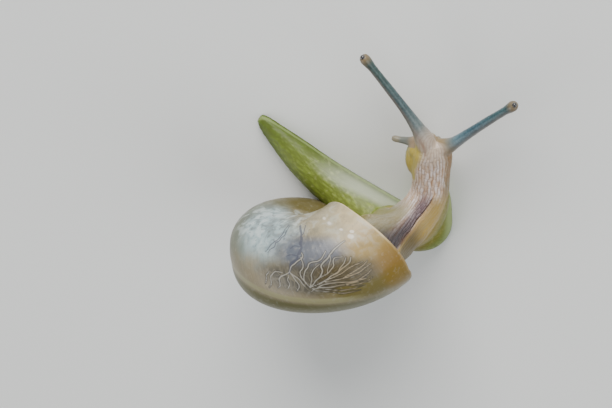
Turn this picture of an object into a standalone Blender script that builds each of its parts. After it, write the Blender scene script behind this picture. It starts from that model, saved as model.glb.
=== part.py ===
"""Garden snail, life size, crawling with its neck turned hard to the left and its feelers out.

Metres in the finished meshes; every size below is in millimetres.
X runs along the straight part of the foot towards the front, Y is the animal's left, Z is up.
The origin is on the floor, in the middle of the sole, where the body rises into the shell.
"""
import bpy
import bmesh
import math
from mathutils import Euler, Matrix, Vector

MM = 0.001
OBJECT = "garden_snail"

# ---- shell: a whorl section that grows as it turns about the coiling axis -------------------------
EXPANSION = 1.9            # growth of every radius per turn
LIFT_POWER = 1.79          # heights grow faster than radii, which gives the low domed spire
TURNS = 3.5
STEPS_PER_TURN = 40
WHORL_RADIUS = 4.576       # axis to the middle of the last whorl, at the lip
WHORL_OUT = 5.503          # middle of the whorl to its rim
WHORL_IN = 3.728           # middle of the whorl to its inner wall
WHORL_UP = 5.188           # middle of the whorl to its shoulder
WHORL_DOWN = 5.848         # middle of the whorl to its base
WHORL_LEVEL = -7.141       # middle of the last whorl below the tip of the spire
SHOULDER_POWER = 1.74      # squareness of the section above and below its middle
BASE_POWER = 2.235
SUTURE_TOP = 80.75         # section angle (deg) where a whorl meets the one before it
SUTURE_ON = 10.5           # section angle (deg) of that meeting line on the earlier whorl
UMBILICUS = -165.0         # section angle (deg) where the base turns into the umbilicus
SUTURE_STEPS, BASE_STEPS = 5, 16
LIP_LAG_STEPS = 2          # steps by which the growth lines fall back before the earlier suture
PHASE = 19.7               # direction of the lip about the coiling axis (deg)
SWELL = 0.18               # extra fullness of the shoulder, a third of a turn behind the lip
SWELL_AT, SWELL_SPAN = -128.0, 50.0
SHELL_TIP = (0.376, -6.096, 5.950)
SHELL_TURN = (94.836, 18.142, 29.836)
SPIRE_FLOOR = -2.3         # height of the middle of the seam between spire and last whorl
FUNNEL_DEPTH = 0.62        # how far the umbilicus reaches, as a share of the shell's height
LIP_WALL = 0.40            # thickness of the shell's edge
LIP_START, LIP_EDGE = 0.1, 0.12   # growth steps by which the edge begins and ends beyond its band
MOUTH_RECESS = 0.5
PART_GAP = 0.10            # clear space left between neighbouring parts
SEAM_LIFT = 0.16           # clear space under the spire

# ---- foot: x, y on the floor, half width, height --------------------------------------------------
SOLE_DEPTH = 0.15
MARGIN = 0.45              # height of the upright edge of the foot
FOOT = [(-12.30, 0.46, 0.30, 0.45), (-11.70, 0.40, 0.60, 0.75), (-10.05, 0.18, 0.98, 1.15),
        (-7.75, -0.08, 1.42, 1.70), (-5.40, -0.26, 1.70, 2.10), (-3.00, -0.22, 1.88, 2.50),
        (0.00, 0.00, 2.05, 3.20), (2.30, 0.35, 2.15, 3.40), (3.90, 0.90, 2.30, 3.10),
        (4.50, 2.05, 2.30, 2.70), (4.05, 3.40, 1.95, 2.40), (3.45, 4.75, 1.70, 2.00),
        (2.95, 5.70, 1.20, 1.50), (2.70, 6.20, 0.60, 1.00)]

COLLAR = [(-0.6, 0.97), (0.5, 0.96), (1.1, 0.88), (1.5, 0.70), (1.7, 0.45)]   # growth steps, share of mouth

# ---- trunk: centre, half width, half height -------------------------------------------------------
STALK = [((1.62, 2.78, 8.60), 2.9, 2.3), ((2.00, 2.40, 7.20), 2.75, 2.2),
         ((2.35, 1.95, 5.60), 2.6, 2.1), ((2.60, 1.50, 4.00), 2.5, 2.1), ((2.70, 1.20, 2.60), 2.3, 2.0)]
NECK = [((1.90, 2.95, 8.10), 2.10, 2.00), ((2.45, 2.85, 6.60), 2.15, 2.00),
        ((2.95, 3.15, 5.20), 2.05, 1.95), ((3.25, 3.95, 4.15), 1.95, 1.85),
        ((3.22, 5.20, 3.65), 1.82, 1.65), ((2.86, 6.94, 3.55), 1.68, 1.48),
        ((2.35, 8.10, 3.65), 1.62, 1.42), ((1.92, 9.00, 3.85), 1.60, 1.40),
        ((1.50, 10.00, 4.08), 1.62, 1.40), ((1.10, 10.90, 4.42), 1.60, 1.32),
        ((0.80, 11.55, 4.60), 1.35, 1.10), ((0.60, 12.00, 4.68), 0.85, 0.75)]
MOUTH_LOBE = ((0.20, 9.60, 3.70), (1.05, 0.95, 1.55))
LIP_LOBE = ((0.25, 10.95, 3.75), (0.95, 0.85, 0.95))
HEAD_AHEAD = (-0.42, 0.88, 0.21)
TRUNK_SIDES = 16

# ---- blending of the lofts into one skin ----------------------------------------------------------
MELT_VOXEL, MELT_ROUNDS, MELT_SHARE = 0.17, 7, 0.062      # the flesh: fineness, smoothing, faces kept
CLEAR_VOXEL, CLEAR_ROUNDS, CLEAR_SHARE = 0.15, 1, 0.024   # the room left for the shell
EYE_GAP = 0.04
CRUMB = 0.4                # loose bits thinner than this are dropped

# ---- feelers: points on the middle line and the radius at each -----------------------------------
FEELER_LEFT = [((0.35, 11.35, 4.85), 0.80), ((-0.35, 12.05, 5.18), 0.68), ((-1.30, 12.68, 5.45), 0.50),
               ((-3.00, 13.60, 5.85), 0.41), ((-5.20, 14.62, 6.32), 0.37), ((-7.00, 15.40, 6.66), 0.34),
               ((-7.72, 15.68, 6.80), 0.41), ((-8.10, 15.84, 6.88), 0.40), ((-8.32, 15.93, 6.92), 0.24)]
FEELER_RIGHT = [((1.20, 11.60, 4.55), 0.80), ((1.72, 12.35, 4.55), 0.70), ((2.02, 13.20, 4.70), 0.52),
                ((2.48, 15.20, 5.15), 0.41), ((3.00, 17.40, 5.70), 0.37), ((3.50, 19.40, 6.25), 0.34),
                ((3.70, 20.15, 6.46), 0.41), ((3.80, 20.56, 6.58), 0.40), ((3.86, 20.80, 6.65), 0.24)]
LOWER_LEFT = [((-0.30, 10.50, 4.15), 0.34), ((-1.05, 10.14, 4.18), 0.29), ((-1.65, 9.85, 4.19), 0.26),
              ((-2.12, 9.62, 4.20), 0.28), ((-2.32, 9.52, 4.20), 0.16)]
LOWER_RIGHT = [((0.78, 10.70, 3.10), 0.34), ((0.82, 10.50, 2.40), 0.29), ((0.86, 10.36, 1.80), 0.26),
               ((0.90, 10.25, 1.28), 0.28), ((0.91, 10.21, 1.08), 0.16)]
FEELER_SIDES = 12
EYE_RADIUS = 0.23
EYE_LEFT = (-8.33, 15.97, 7.06)
EYE_RIGHT = (3.80, 20.84, 6.80)

# ---- cuts that divide the flesh: centre, outward direction, half width, half height ---------------
KNIFE = 0.12
CUTS = [((-9.00, 0.05, 0.8), (1, 0, 0), 3.0, 2.5),
        ((-5.20, -0.20, 1.2), (1, 0, 0), 3.0, 2.8),
        ((-1.20, -0.10, 1.5), (1, 0, 0), 3.2, 4.0),
        ((2.95, 2.60, 2.05), (0, 0, 1), 5.2, 4.15),
        ((3.40, 2.93, 0.60), (-0.25, 1, 0), 3.3, 1.47),
        ((1.75, 2.35, 7.95), (-0.2, -0.5, 0.85), 5.0, 5.0),
        ((3.27, 4.55, 3.80), (0.10, 1.0, -0.32), 3.2, 3.0),
        ((2.42, 7.95, 3.42), (-0.42, 1.0, 0.14), 3.0, 2.6),
        ((1.62, 9.70, 3.95), (-0.40, 1.0, 0.36), 3.2, 2.8)]
LABELS = {"tail_tip": (-10.6, 0.2, 0.6), "tail": (-7.0, -0.1, 0.9), "foot_rear": (-3.1, -0.2, 1.2),
          "foot_middle": (1.6, 0.4, 1.1), "foot_front": (3.8, 4.2, 1.0), "stalk": (2.4, 2.2, 5.2),
          "mantle_collar": (1.5, 3.0, 8.9), "neck_base": (2.95, 6.2, 3.4),
          "neck": (2.05, 8.8, 3.6), "head": (0.9, 10.9, 4.3)}      # about the middle of each length

FLESH = (0.62, 0.52, 0.38, 1.0)
TAIL = (0.55, 0.55, 0.24, 1.0)
FEELER = (0.33, 0.35, 0.38, 1.0)
SHELL = (0.66, 0.54, 0.36, 1.0)
RIM = (0.78, 0.66, 0.44, 1.0)
MANTLE = (0.60, 0.52, 0.42, 1.0)
EYE = (0.01, 0.01, 0.015, 1.0)


def clear_file():
    for item in list(bpy.data.objects):
        bpy.data.objects.remove(item, do_unlink=True)


def collection(name, hidden=False):
    made = bpy.data.collections.new(name)
    bpy.context.scene.collection.children.link(made)
    made.hide_render = hidden
    return made


def material(name, colour, roughness):
    made = bpy.data.materials.new(name)
    made.use_nodes = True
    shader = made.node_tree.nodes["Principled BSDF"]
    shader.inputs["Base Color"].default_value = colour
    shader.inputs["Roughness"].default_value = roughness
    return made


def solid(name, points, faces, where):
    """A closed mesh from points in millimetres, its faces turned outward."""
    mesh = bpy.data.meshes.new(name)
    mesh.from_pydata([Vector(p) * MM for p in points], [], faces)
    shape = bmesh.new()
    shape.from_mesh(mesh)
    bmesh.ops.remove_doubles(shape, verts=shape.verts, dist=1e-7)
    bmesh.ops.recalc_face_normals(shape, faces=shape.faces)
    shape.to_mesh(mesh)
    shape.free()
    made = bpy.data.objects.new(name, mesh)
    where.objects.link(made)
    return made


def apply_all(item):
    """Freeze the modifiers of an object into its mesh."""
    bpy.context.view_layer.update()
    seen = item.evaluated_get(bpy.context.evaluated_depsgraph_get())
    mesh = bpy.data.meshes.new_from_object(seen)
    item.modifiers.clear()
    item.data = mesh


def boolean(item, other, kind="DIFFERENCE"):
    step = item.modifiers.new(kind.lower(), "BOOLEAN")
    step.operation = kind
    step.solver = "EXACT"
    step.object = other
    apply_all(item)


def discard(*items):
    for item in items:
        bpy.data.objects.remove(item, do_unlink=True)


# ---------------------------------------------------------------- shell
LAG = LIP_LAG_STEPS * 360.0 / STEPS_PER_TURN * (SUTURE_TOP - UMBILICUS) / (SUTURE_TOP - SUTURE_ON)
LAST = int(round(TURNS * STEPS_PER_TURN))
ANGLES = ([SUTURE_TOP + (SUTURE_ON - SUTURE_TOP) * k / SUTURE_STEPS for k in range(SUTURE_STEPS)] +
          [SUTURE_ON + (UMBILICUS - SUTURE_ON) * k / BASE_STEPS for k in range(BASE_STEPS + 1)])
TURN = Euler([math.radians(a) for a in SHELL_TURN]).to_matrix()


def power(value, exponent):
    return math.copysign(abs(value) ** exponent, value)


def section(angle):
    """Radius and height of the whorl section, at the size it has at the lip."""
    c, s = math.cos(math.radians(angle)), math.sin(math.radians(angle))
    p = 2.0 / (SHOULDER_POWER if s > 0 else BASE_POWER)
    out = WHORL_OUT if c > 0 else WHORL_IN
    tall = WHORL_UP if s > 0 else WHORL_DOWN
    return WHORL_RADIUS + out * power(c, p), WHORL_LEVEL + tall * power(s, p)


def axis_point(height, radius=0.0, around=0.0):
    local = Vector((radius * math.cos(around), radius * math.sin(around), height))
    return TURN @ local + Vector(SHELL_TIP)


def shell_point(step, angle, inward=0.0):
    """A point of the shell: step counts along the growth, angle goes round the whorl section."""
    radius, height = section(angle)
    if inward:
        dr, dz = radius - WHORL_RADIUS, height - WHORL_LEVEL
        reach = math.hypot(dr, dz)
        radius, height = radius - dr / reach * inward, height - dz / reach * inward
    degrees = (360.0 * (step - LAST) / STEPS_PER_TURN
               - LAG * (SUTURE_TOP - angle) / (SUTURE_TOP - UMBILICUS))
    turned = math.radians(degrees)
    if SUTURE_ON < angle < SUTURE_TOP:
        share = math.sin(math.pi * (angle - SUTURE_ON) / (SUTURE_TOP - SUTURE_ON)) ** 2
        share *= SWELL * math.exp(-((degrees - SWELL_AT) / SWELL_SPAN) ** 2)
        radius += share * (radius - WHORL_RADIUS)
        height += share * (height - WHORL_LEVEL)
    scale = EXPANSION ** (turned / (2 * math.pi))
    return axis_point(height * scale ** LIFT_POWER, radius * scale, math.radians(PHASE) - turned)


def weld_key(i, j):
    """The top line of a whorl and the suture line of the whorl before it are one line."""
    back = i - STEPS_PER_TURN + LIP_LAG_STEPS
    return (back, SUTURE_STEPS) if j == 0 and back >= 0 else (i, j)


def grid_solid(name, cells, fans, loops, where):
    """cells: (i, j) quads; fans: (centre point, loop of keys); loops close a mouth about its centre."""
    keys, points, faces = {}, [], []

    def index(i, j):
        key = weld_key(i, j)
        if key not in keys:
            keys[key] = len(points)
            points.append(shell_point(key[0], ANGLES[key[1]]))
        return keys[key]

    for i, j in cells:
        faces.append([index(i, j), index(i + 1, j), index(i + 1, j + 1), index(i, j + 1)])
    for centre, loop, closed in fans:
        points.append(centre)
        hub = len(points) - 1
        ids = [index(*key) for key in loop]
        for a, b in zip(ids, ids[1:] + (ids[:1] if closed else [])):
            if a != b:
                faces.append([a, b, hub])
    for extra in loops:
        faces.append([k if isinstance(k, int) else index(*k) for k in extra])
    return solid(name, points, faces, where)


def mouth_loop(i):
    """Round the mouth of the shell at one growth step: out along the lip, back along the old whorl."""
    back = i - STEPS_PER_TURN + LIP_LAG_STEPS
    last = len(ANGLES) - 1
    return [(i, j) for j in range(last + 1)] + [(back, j) for j in range(last, SUTURE_STEPS, -1)]


def middle(points):
    return sum((Vector(p) for p in points), Vector()) / len(points)


def build_spire(where):
    """The early whorls: a shallow dome that sits on the last whorl."""
    first_last = LAST - STEPS_PER_TURN
    cells = [(i, j) for i in range(first_last) for j in range(SUTURE_STEPS)]
    wrap = STEPS_PER_TURN - LIP_LAG_STEPS
    start = [(0, j) for j in range(SUTURE_STEPS, -1, -1)] + [(i, 0) for i in range(1, wrap)]
    floor = [(first_last, j) for j in range(SUTURE_STEPS + 1)]
    floor += [(i, SUTURE_STEPS) for i in range(first_last - 1, first_last - wrap - 1, -1)]
    spire = grid_solid("shell_spire", cells,
                       [(axis_point(0.0), start, True), (axis_point(SPIRE_FLOOR), floor, True)], [], where)
    lift = TURN @ Vector((0, 0, SEAM_LIFT))
    spire.data.transform(Matrix.Translation(lift * MM))
    return spire


def build_last_whorl(where, stop):
    """The last whorl with its umbilicus, closed across the mouth and under the spire."""
    first = LAST - STEPS_PER_TURN
    wrap = STEPS_PER_TURN - LIP_LAG_STEPS
    last = len(ANGLES) - 1
    begin = stop - wrap
    cells = [(i, j) for i in range(first, stop) for j in range(SUTURE_STEPS)]
    cells += [(i, j) for i in range(begin, stop) for j in range(SUTURE_STEPS, last)]
    top = [(first, j) for j in range(SUTURE_STEPS + 1)]
    top += [(i, SUTURE_STEPS) for i in range(first - 1, first - wrap - 1, -1)]
    funnel = [(i, last) for i in range(begin, stop + 1)]
    mouth = mouth_loop(stop)
    inside = middle([shell_point(i, ANGLES[j]) for i, j in mouth])
    inside += (shell_point(stop - 2, 0.0) - shell_point(stop, 0.0)).normalized() * MOUTH_RECESS
    hole = axis_point(WHORL_LEVEL * FUNNEL_DEPTH)
    return grid_solid("shell_last_whorl", cells,
                      [(axis_point(SPIRE_FLOOR), top, True), (hole, funnel, True), (inside, mouth, True)],
                      [], where)


def build_lip(where, stop):
    """The thin edge of the shell, one growth step wide."""
    offsets = ANGLES[1:-1]
    start, points, faces = stop - LIP_START, [], []
    for angle in offsets:
        for step, inward in ((start, 0.0), (LAST, 0.02), (LAST + LIP_EDGE, LIP_WALL * 0.45),
                             (LAST, LIP_WALL), (start, LIP_WALL)):
            points.append(shell_point(step, angle, inward))
    count = len(offsets)
    for k in range(count - 1):
        for c in range(5):
            a, b = k * 5 + c, k * 5 + (c + 1) % 5
            faces.append([a, b, b + 5, a + 5])
    faces += [list(range(5)), list(range((count - 1) * 5, count * 5))]
    return solid("shell_lip", points, faces, where)


def collar_loft(where, stop):
    """The mantle that fills the mouth inside the lip, before it is melted into the stalk."""
    last = len(ANGLES) - 1
    rings, points, faces = [], [], []
    for step, share in COLLAR:
        back = stop + step - STEPS_PER_TURN + LIP_LAG_STEPS
        ring = [shell_point(stop + step, ANGLES[j], 0.2) for j in range(1, last + 1)]
        ring += [shell_point(back, ANGLES[j], -0.2) for j in range(last, SUTURE_STEPS, -1)]
        hub = middle(ring)
        rings.append(list(range(len(points), len(points) + len(ring))))
        points += [hub + (p - hub) * share for p in ring]
    for low, high in zip(rings, rings[1:]):
        for k in range(len(low)):
            n = (k + 1) % len(low)
            faces.append([low[k], low[n], high[n], high[k]])
    for ring in (rings[0], rings[-1]):
        points.append(middle([points[k] for k in ring]))
        for k in range(len(ring)):
            faces.append([ring[k], ring[(k + 1) % len(ring)], len(points) - 1])
    return solid("collar_loft", points, faces, where)


# ---------------------------------------------------------------- flesh
def frames(path, up):
    """Tangent, side and upward directions at each point of a path."""
    result = []
    for k, point in enumerate(path):
        ahead, behind = path[min(k + 1, len(path) - 1)], path[max(k - 1, 0)]
        along = (Vector(ahead) - Vector(behind)).normalized()
        side = Vector(up).cross(along).normalized()
        result.append((along, side, along.cross(side).normalized()))
    return result


def tube(name, path, widths, heights, up, sides, where):
    """A closed round loft along a path."""
    points, faces = [], []
    for centre, (along, side, top), wide, tall in zip(path, frames(path, up), widths, heights):
        for k in range(sides):
            turn = 2 * math.pi * k / sides
            points.append(Vector(centre) + side * wide * math.cos(turn) + top * tall * math.sin(turn))
    for ring in range(len(path) - 1):
        for k in range(sides):
            a, b = ring * sides + k, ring * sides + (k + 1) % sides
            faces.append([a, b, b + sides, a + sides])
    faces += [list(range(sides)), list(range(len(points) - sides, len(points)))]
    return solid(name, points, faces, where)


def foot_loft(where):
    """The foot: flat underneath, with an upright edge and a rounded back."""
    path = [(x, y, 0.0) for x, y, _, _ in FOOT]
    points, faces, arc = [], [], 12
    for (x, y, wide, tall), (along, side, _) in zip(FOOT, frames(path, (0, 0, 1))):
        margin = min(MARGIN, tall * 0.5)
        ring = [(-wide * 0.96, -SOLE_DEPTH)]
        for k in range(arc + 1):
            turn = math.pi * (1 - k / arc)
            ring.append((wide * math.cos(turn), margin + (tall - margin) * math.sin(turn) ** 0.9))
        ring.append((wide * 0.96, -SOLE_DEPTH))
        points += [Vector((x, y, 0)) + side * a + Vector((0, 0, b)) for a, b in ring]
    count = arc + 3
    for ring in range(len(FOOT) - 1):
        for k in range(count):
            a, b = ring * count + k, ring * count + (k + 1) % count
            faces.append([a, b, b + count, a + count])
    faces += [list(range(count)), list(range(len(points) - count, len(points)))]
    return solid("foot_loft", points, faces, where)


def ball(name, centre, radii, along, where, cuts=3):
    made = bpy.data.objects.new(name, bpy.data.meshes.new(name))
    shape = bmesh.new()
    bmesh.ops.create_icosphere(shape, subdivisions=cuts, radius=1.0)
    aim = Vector(along).to_track_quat("Z", "Y").to_matrix().to_4x4()
    stretch = Matrix.Diagonal([r * MM for r in radii] + [1.0])
    shape.transform(Matrix.Translation(Vector(centre) * MM) @ aim @ stretch)
    shape.to_mesh(made.data)
    shape.free()
    where.objects.link(made)
    return made


def join(name, items, where):
    shape = bmesh.new()
    for item in items:
        shape.from_mesh(item.data)
    mesh = bpy.data.meshes.new(name)
    shape.to_mesh(mesh)
    shape.free()
    made = bpy.data.objects.new(name, mesh)
    where.objects.link(made)
    discard(*items)
    return made


def grown(item, amount, where):
    """A copy of an object pushed outward, used to leave a gap."""
    mesh = item.data.copy()
    shape = bmesh.new()
    shape.from_mesh(mesh)
    shape.normal_update()
    for vert in shape.verts:
        vert.co += vert.normal * amount * MM
    shape.to_mesh(mesh)
    shape.free()
    made = bpy.data.objects.new(item.name + "_clear", mesh)
    where.objects.link(made)
    return made


def melt(item, voxel, rounds, share):
    """Blend overlapping closed lofts into one skin."""
    step = item.modifiers.new("melt", "REMESH")
    step.mode = "VOXEL"
    step.voxel_size = voxel * MM
    relax = item.modifiers.new("relax", "SMOOTH")
    relax.factor = 0.5
    relax.iterations = rounds
    thin = item.modifiers.new("thin", "DECIMATE")
    thin.ratio = share
    apply_all(item)
    return item


def melted(name, items, where):
    return melt(join(name, items, where), CLEAR_VOXEL, CLEAR_ROUNDS, CLEAR_SHARE)


def build_flesh(where):
    """One blended body: the lofts of foot, stalk, neck and head melted together."""
    lofts = [foot_loft(where), collar_loft(where, LAST - 1)]
    for name, table, up in (("stalk_loft", STALK, (0.3, 1, 0)), ("neck_loft", NECK, (0.35, 0.1, 1))):
        lofts.append(tube(name, [p for p, _, _ in table], [a for _, a, _ in table],
                          [b for _, _, b in table], up, TRUNK_SIDES, where))
    for name, (centre, radii) in (("mouth_loft", MOUTH_LOBE), ("lips_loft", LIP_LOBE)):
        lofts.append(ball(name, centre, radii, HEAD_AHEAD, where))
    for name, table in (("left_root", FEELER_LEFT[:3]), ("right_root", FEELER_RIGHT[:3])):
        lofts.append(tube(name, [p for p, _ in table], [r for _, r in table],
                          [r for _, r in table], (0, 0, 1), FEELER_SIDES, where))
    return melt(join("flesh", lofts, where), MELT_VOXEL, MELT_ROUNDS, MELT_SHARE)


def slab(name, centre, facing, half_wide, half_tall, thick, where):
    shape = bmesh.new()
    bmesh.ops.create_cube(shape, size=1.0)
    aim = Vector(facing).to_track_quat("X", "Z").to_matrix().to_4x4()
    size = Matrix.Diagonal((thick * MM, 2 * half_wide * MM, 2 * half_tall * MM, 1.0))
    shape.transform(Matrix.Translation(Vector(centre) * MM) @ aim @ size)
    mesh = bpy.data.meshes.new(name)
    shape.to_mesh(mesh)
    shape.free()
    made = bpy.data.objects.new(name, mesh)
    where.objects.link(made)
    return made


def below_floor(where):
    return slab("below_floor", (0, 0, -5.0), (0, 0, 1), 40, 40, 10.0, where)


def islands(item):
    """The loose pieces of a mesh, as lists of vertex positions and faces."""
    shape = bmesh.new()
    shape.from_mesh(item.data)
    shape.verts.index_update()
    seen, found = set(), []
    for seed in shape.verts:
        if seed.index in seen:
            continue
        seen.add(seed.index)
        piece = [seed]
        for vert in piece:
            for edge in vert.link_edges:
                other = edge.other_vert(vert)
                if other.index not in seen:
                    seen.add(other.index)
                    piece.append(other)
        order = {vert.index: k for k, vert in enumerate(piece)}
        faces = [[order[v.index] for v in face.verts]
                 for face in shape.faces if face.verts[0].index in order]
        found.append(([vert.co / MM for vert in piece], faces))
    shape.free()
    return found


def box(item):
    spots = [v.co for v in item.data.vertices]
    return [[pick(p[k] for p in spots) / MM for k in range(3)] for pick in (min, max)]


def meet(one, other):
    (low_a, high_a), (low_b, high_b) = box(one), box(other)
    return all(low_a[k] < high_b[k] and low_b[k] < high_a[k] for k in range(3))


def separate(item, where):
    """The loose pieces of a mesh as objects of their own, crumbs left out."""
    pieces = [solid("piece", points, faces, where) for points, faces in islands(item) if len(faces) > 3]
    discard(item)
    crumbs = [p for p in pieces if min(h - l for l, h in zip(*box(p))) < CRUMB]
    discard(*crumbs)
    return [p for p in pieces if p not in crumbs]


def divide(body, where, cutters):
    """Cut the flesh into its named lengths."""
    pieces = [body]
    for number, (centre, facing, wide, tall) in enumerate(CUTS):
        knife = slab("knife_%d" % number, centre, facing, wide, tall, KNIFE, cutters)
        result = []
        for piece in pieces:
            if meet(piece, knife):
                boolean(piece, knife)
                result += separate(piece, where)
            else:
                result.append(piece)
        pieces = result
    for piece in pieces:
        low, high = box(piece)
        centre = (Vector(low) + Vector(high)) / 2
        piece.name = min(LABELS, key=lambda key: (Vector(LABELS[key]) - centre).length)
    return pieces


def finish(item, look):
    item.data.materials.clear()
    item.data.materials.append(look)
    for face in item.data.polygons:
        face.use_smooth = False
    for vert in item.data.vertices:
        vert.select = False


clear_file()
snail = collection(OBJECT)
tools = collection("cutters", hidden=True)
stop = LAST - 1

spire = build_spire(snail)
whorl = build_last_whorl(snail, stop)
lip = build_lip(snail, stop)
floor = below_floor(tools)
boolean(whorl, floor)

flesh = build_flesh(snail)
boolean(flesh, floor)
clear = grown(whorl, PART_GAP, tools)
boolean(lip, clear)
clear = melted("shell_clear", [clear, grown(lip, PART_GAP, tools)], tools)
boolean(flesh, clear)
discard(clear)

feelers = []
for name, table in (("upper_feeler_left", FEELER_LEFT), ("upper_feeler_right", FEELER_RIGHT),
                    ("lower_feeler_left", LOWER_LEFT), ("lower_feeler_right", LOWER_RIGHT)):
    feelers.append(tube(name, [p for p, _ in table], [r for _, r in table], [r for _, r in table],
                        (0, 0.3, 1), FEELER_SIDES, snail))
head_clear = grown(flesh, PART_GAP, tools)
for feeler in feelers:
    boolean(feeler, head_clear)
discard(head_clear)

eyes = [ball("eye_left", EYE_LEFT, [EYE_RADIUS] * 3, (0, 0, 1), snail, cuts=2),
        ball("eye_right", EYE_RIGHT, [EYE_RADIUS] * 3, (0, 0, 1), snail, cuts=2)]
for feeler, eye in zip(feelers, eyes):
    socket = grown(eye, EYE_GAP, tools)
    boolean(feeler, socket)
    discard(socket)

pieces = divide(flesh, snail, tools)

looks = {"shell_spire": (SHELL, 0.3), "shell_last_whorl": (SHELL, 0.3), "shell_lip": (RIM, 0.3),
         "mantle_collar": (MANTLE, 0.45), "tail_tip": (TAIL, 0.5), "tail": (TAIL, 0.5)}
for item in [spire, whorl, lip] + feelers + eyes + pieces:
    colour, rough = looks.get(item.name, (FLESH, 0.5))
    if "feeler" in item.name:
        colour, rough = FEELER, 0.4
    if item.name.startswith("eye"):
        colour, rough = EYE, 0.1
    finish(item, material(item.name + "_look", colour, rough))
for item in list(tools.objects):
    item.display_type = "WIRE"
    item.hide_render = True
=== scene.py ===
"""Garden snail, life size: the finish of the shell, the skin and the eyes.

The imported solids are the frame. One shell piece and one skin piece are made round them, from the
same sizes, and replace them. Sizes are in millimetres until a mesh is made, which is in metres.
"""
import bpy
import bmesh
import math
import numpy as np
from mathutils import Euler, Matrix, Vector


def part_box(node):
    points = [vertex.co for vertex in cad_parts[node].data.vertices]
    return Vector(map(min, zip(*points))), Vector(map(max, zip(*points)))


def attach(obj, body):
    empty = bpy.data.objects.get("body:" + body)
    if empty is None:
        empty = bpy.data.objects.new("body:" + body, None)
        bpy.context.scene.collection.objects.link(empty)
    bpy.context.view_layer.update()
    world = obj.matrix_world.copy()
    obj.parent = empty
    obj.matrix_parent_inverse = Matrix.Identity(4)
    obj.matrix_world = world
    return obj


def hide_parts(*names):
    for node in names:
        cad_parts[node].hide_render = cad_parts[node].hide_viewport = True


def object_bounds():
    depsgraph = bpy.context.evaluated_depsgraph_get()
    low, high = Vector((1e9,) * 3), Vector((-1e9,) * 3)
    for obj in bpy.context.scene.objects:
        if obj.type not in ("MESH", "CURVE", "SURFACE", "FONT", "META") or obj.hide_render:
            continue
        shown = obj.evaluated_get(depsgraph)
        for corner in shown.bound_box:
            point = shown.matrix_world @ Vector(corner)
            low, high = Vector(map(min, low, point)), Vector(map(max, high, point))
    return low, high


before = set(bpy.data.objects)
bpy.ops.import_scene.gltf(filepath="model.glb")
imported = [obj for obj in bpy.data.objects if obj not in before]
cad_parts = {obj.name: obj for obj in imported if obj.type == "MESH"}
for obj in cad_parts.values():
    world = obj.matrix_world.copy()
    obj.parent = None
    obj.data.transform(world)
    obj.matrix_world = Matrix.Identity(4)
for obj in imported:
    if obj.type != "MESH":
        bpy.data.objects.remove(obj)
CAD_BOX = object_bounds()
MM = 0.001

# ---- shell: a whorl section that grows as it turns about the coiling axis ------------------------
SHELL = {
    "Expansion": 1.9,           # growth of every radius per turn
    "Lift Power": 1.79,         # heights grow faster than radii, which gives the low domed spire
    "Whorl Radius": 4.576,      # axis to the middle of the last whorl, at the lip
    "Reach Out": 5.503,         # middle of the whorl to its rim
    "Reach In": 3.728,          # middle of the whorl to its inner wall
    "Rise": 5.188,              # middle of the whorl to its shoulder
    "Fall": 5.848,              # middle of the whorl to its base
    "Level": -7.141,            # middle of the last whorl below the tip of the spire
    "Shoulder Power": 1.74,     # squareness of the section above and below its middle
    "Base Power": 2.235,
    "Suture Top": 80.75,        # section angle where a whorl meets the one before it
    "Suture On": 10.5,          # section angle of that meeting line on the earlier whorl
    "Umbilicus": -165.0,        # section angle where the base turns into the umbilicus
    "Suture Lag": 18.0,         # degrees by which growth lines fall back before the earlier suture
    "Phase": 19.7,              # direction of the lip about the coiling axis
    "Swell": 0.18,              # extra fullness of the shoulder, a third of a turn behind the lip
    "Swell At": -128.0,
    "Swell Span": 50.0,
}
SHELL_TIP = (0.376, -6.096, 5.950)
SHELL_TURN = (94.836, 18.142, 29.836)   # degrees that the coiling axis is turned about x, y and z
SHELL_BACK = 1512.0             # degrees from the lip to the tip of the spire
FINE_BACK = 140.0               # share of them that is spread evenly, for fine rings near the lip
RINGS, LIP_RINGS = 480, 26
SECTION_POINTS, WALL_POINTS = 168, 10
EDGE_SHARE = 0.3                # share of the lip's rings that go round its edge
WALL_BACK = 400.0               # degrees added on the inner wall, so that no marking finds it
LIP_WALL = 0.26                 # thickness at the lip
LIP_ROUND = 1.3                 # degrees of turn that the rounded edge takes
LIP_DEPTH = 34.0                # degrees that the inner wall runs back into the shell
RIM_SOFT, RIM_ROUNDS = 9.0, 50  # section degrees beside the rim that are rounded off, and how often
LIP_FIRM = 2.5                  # degrees behind the lip that keep their shape
GROWTH_RELIEF = 0.012           # height of the growth lines

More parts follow.
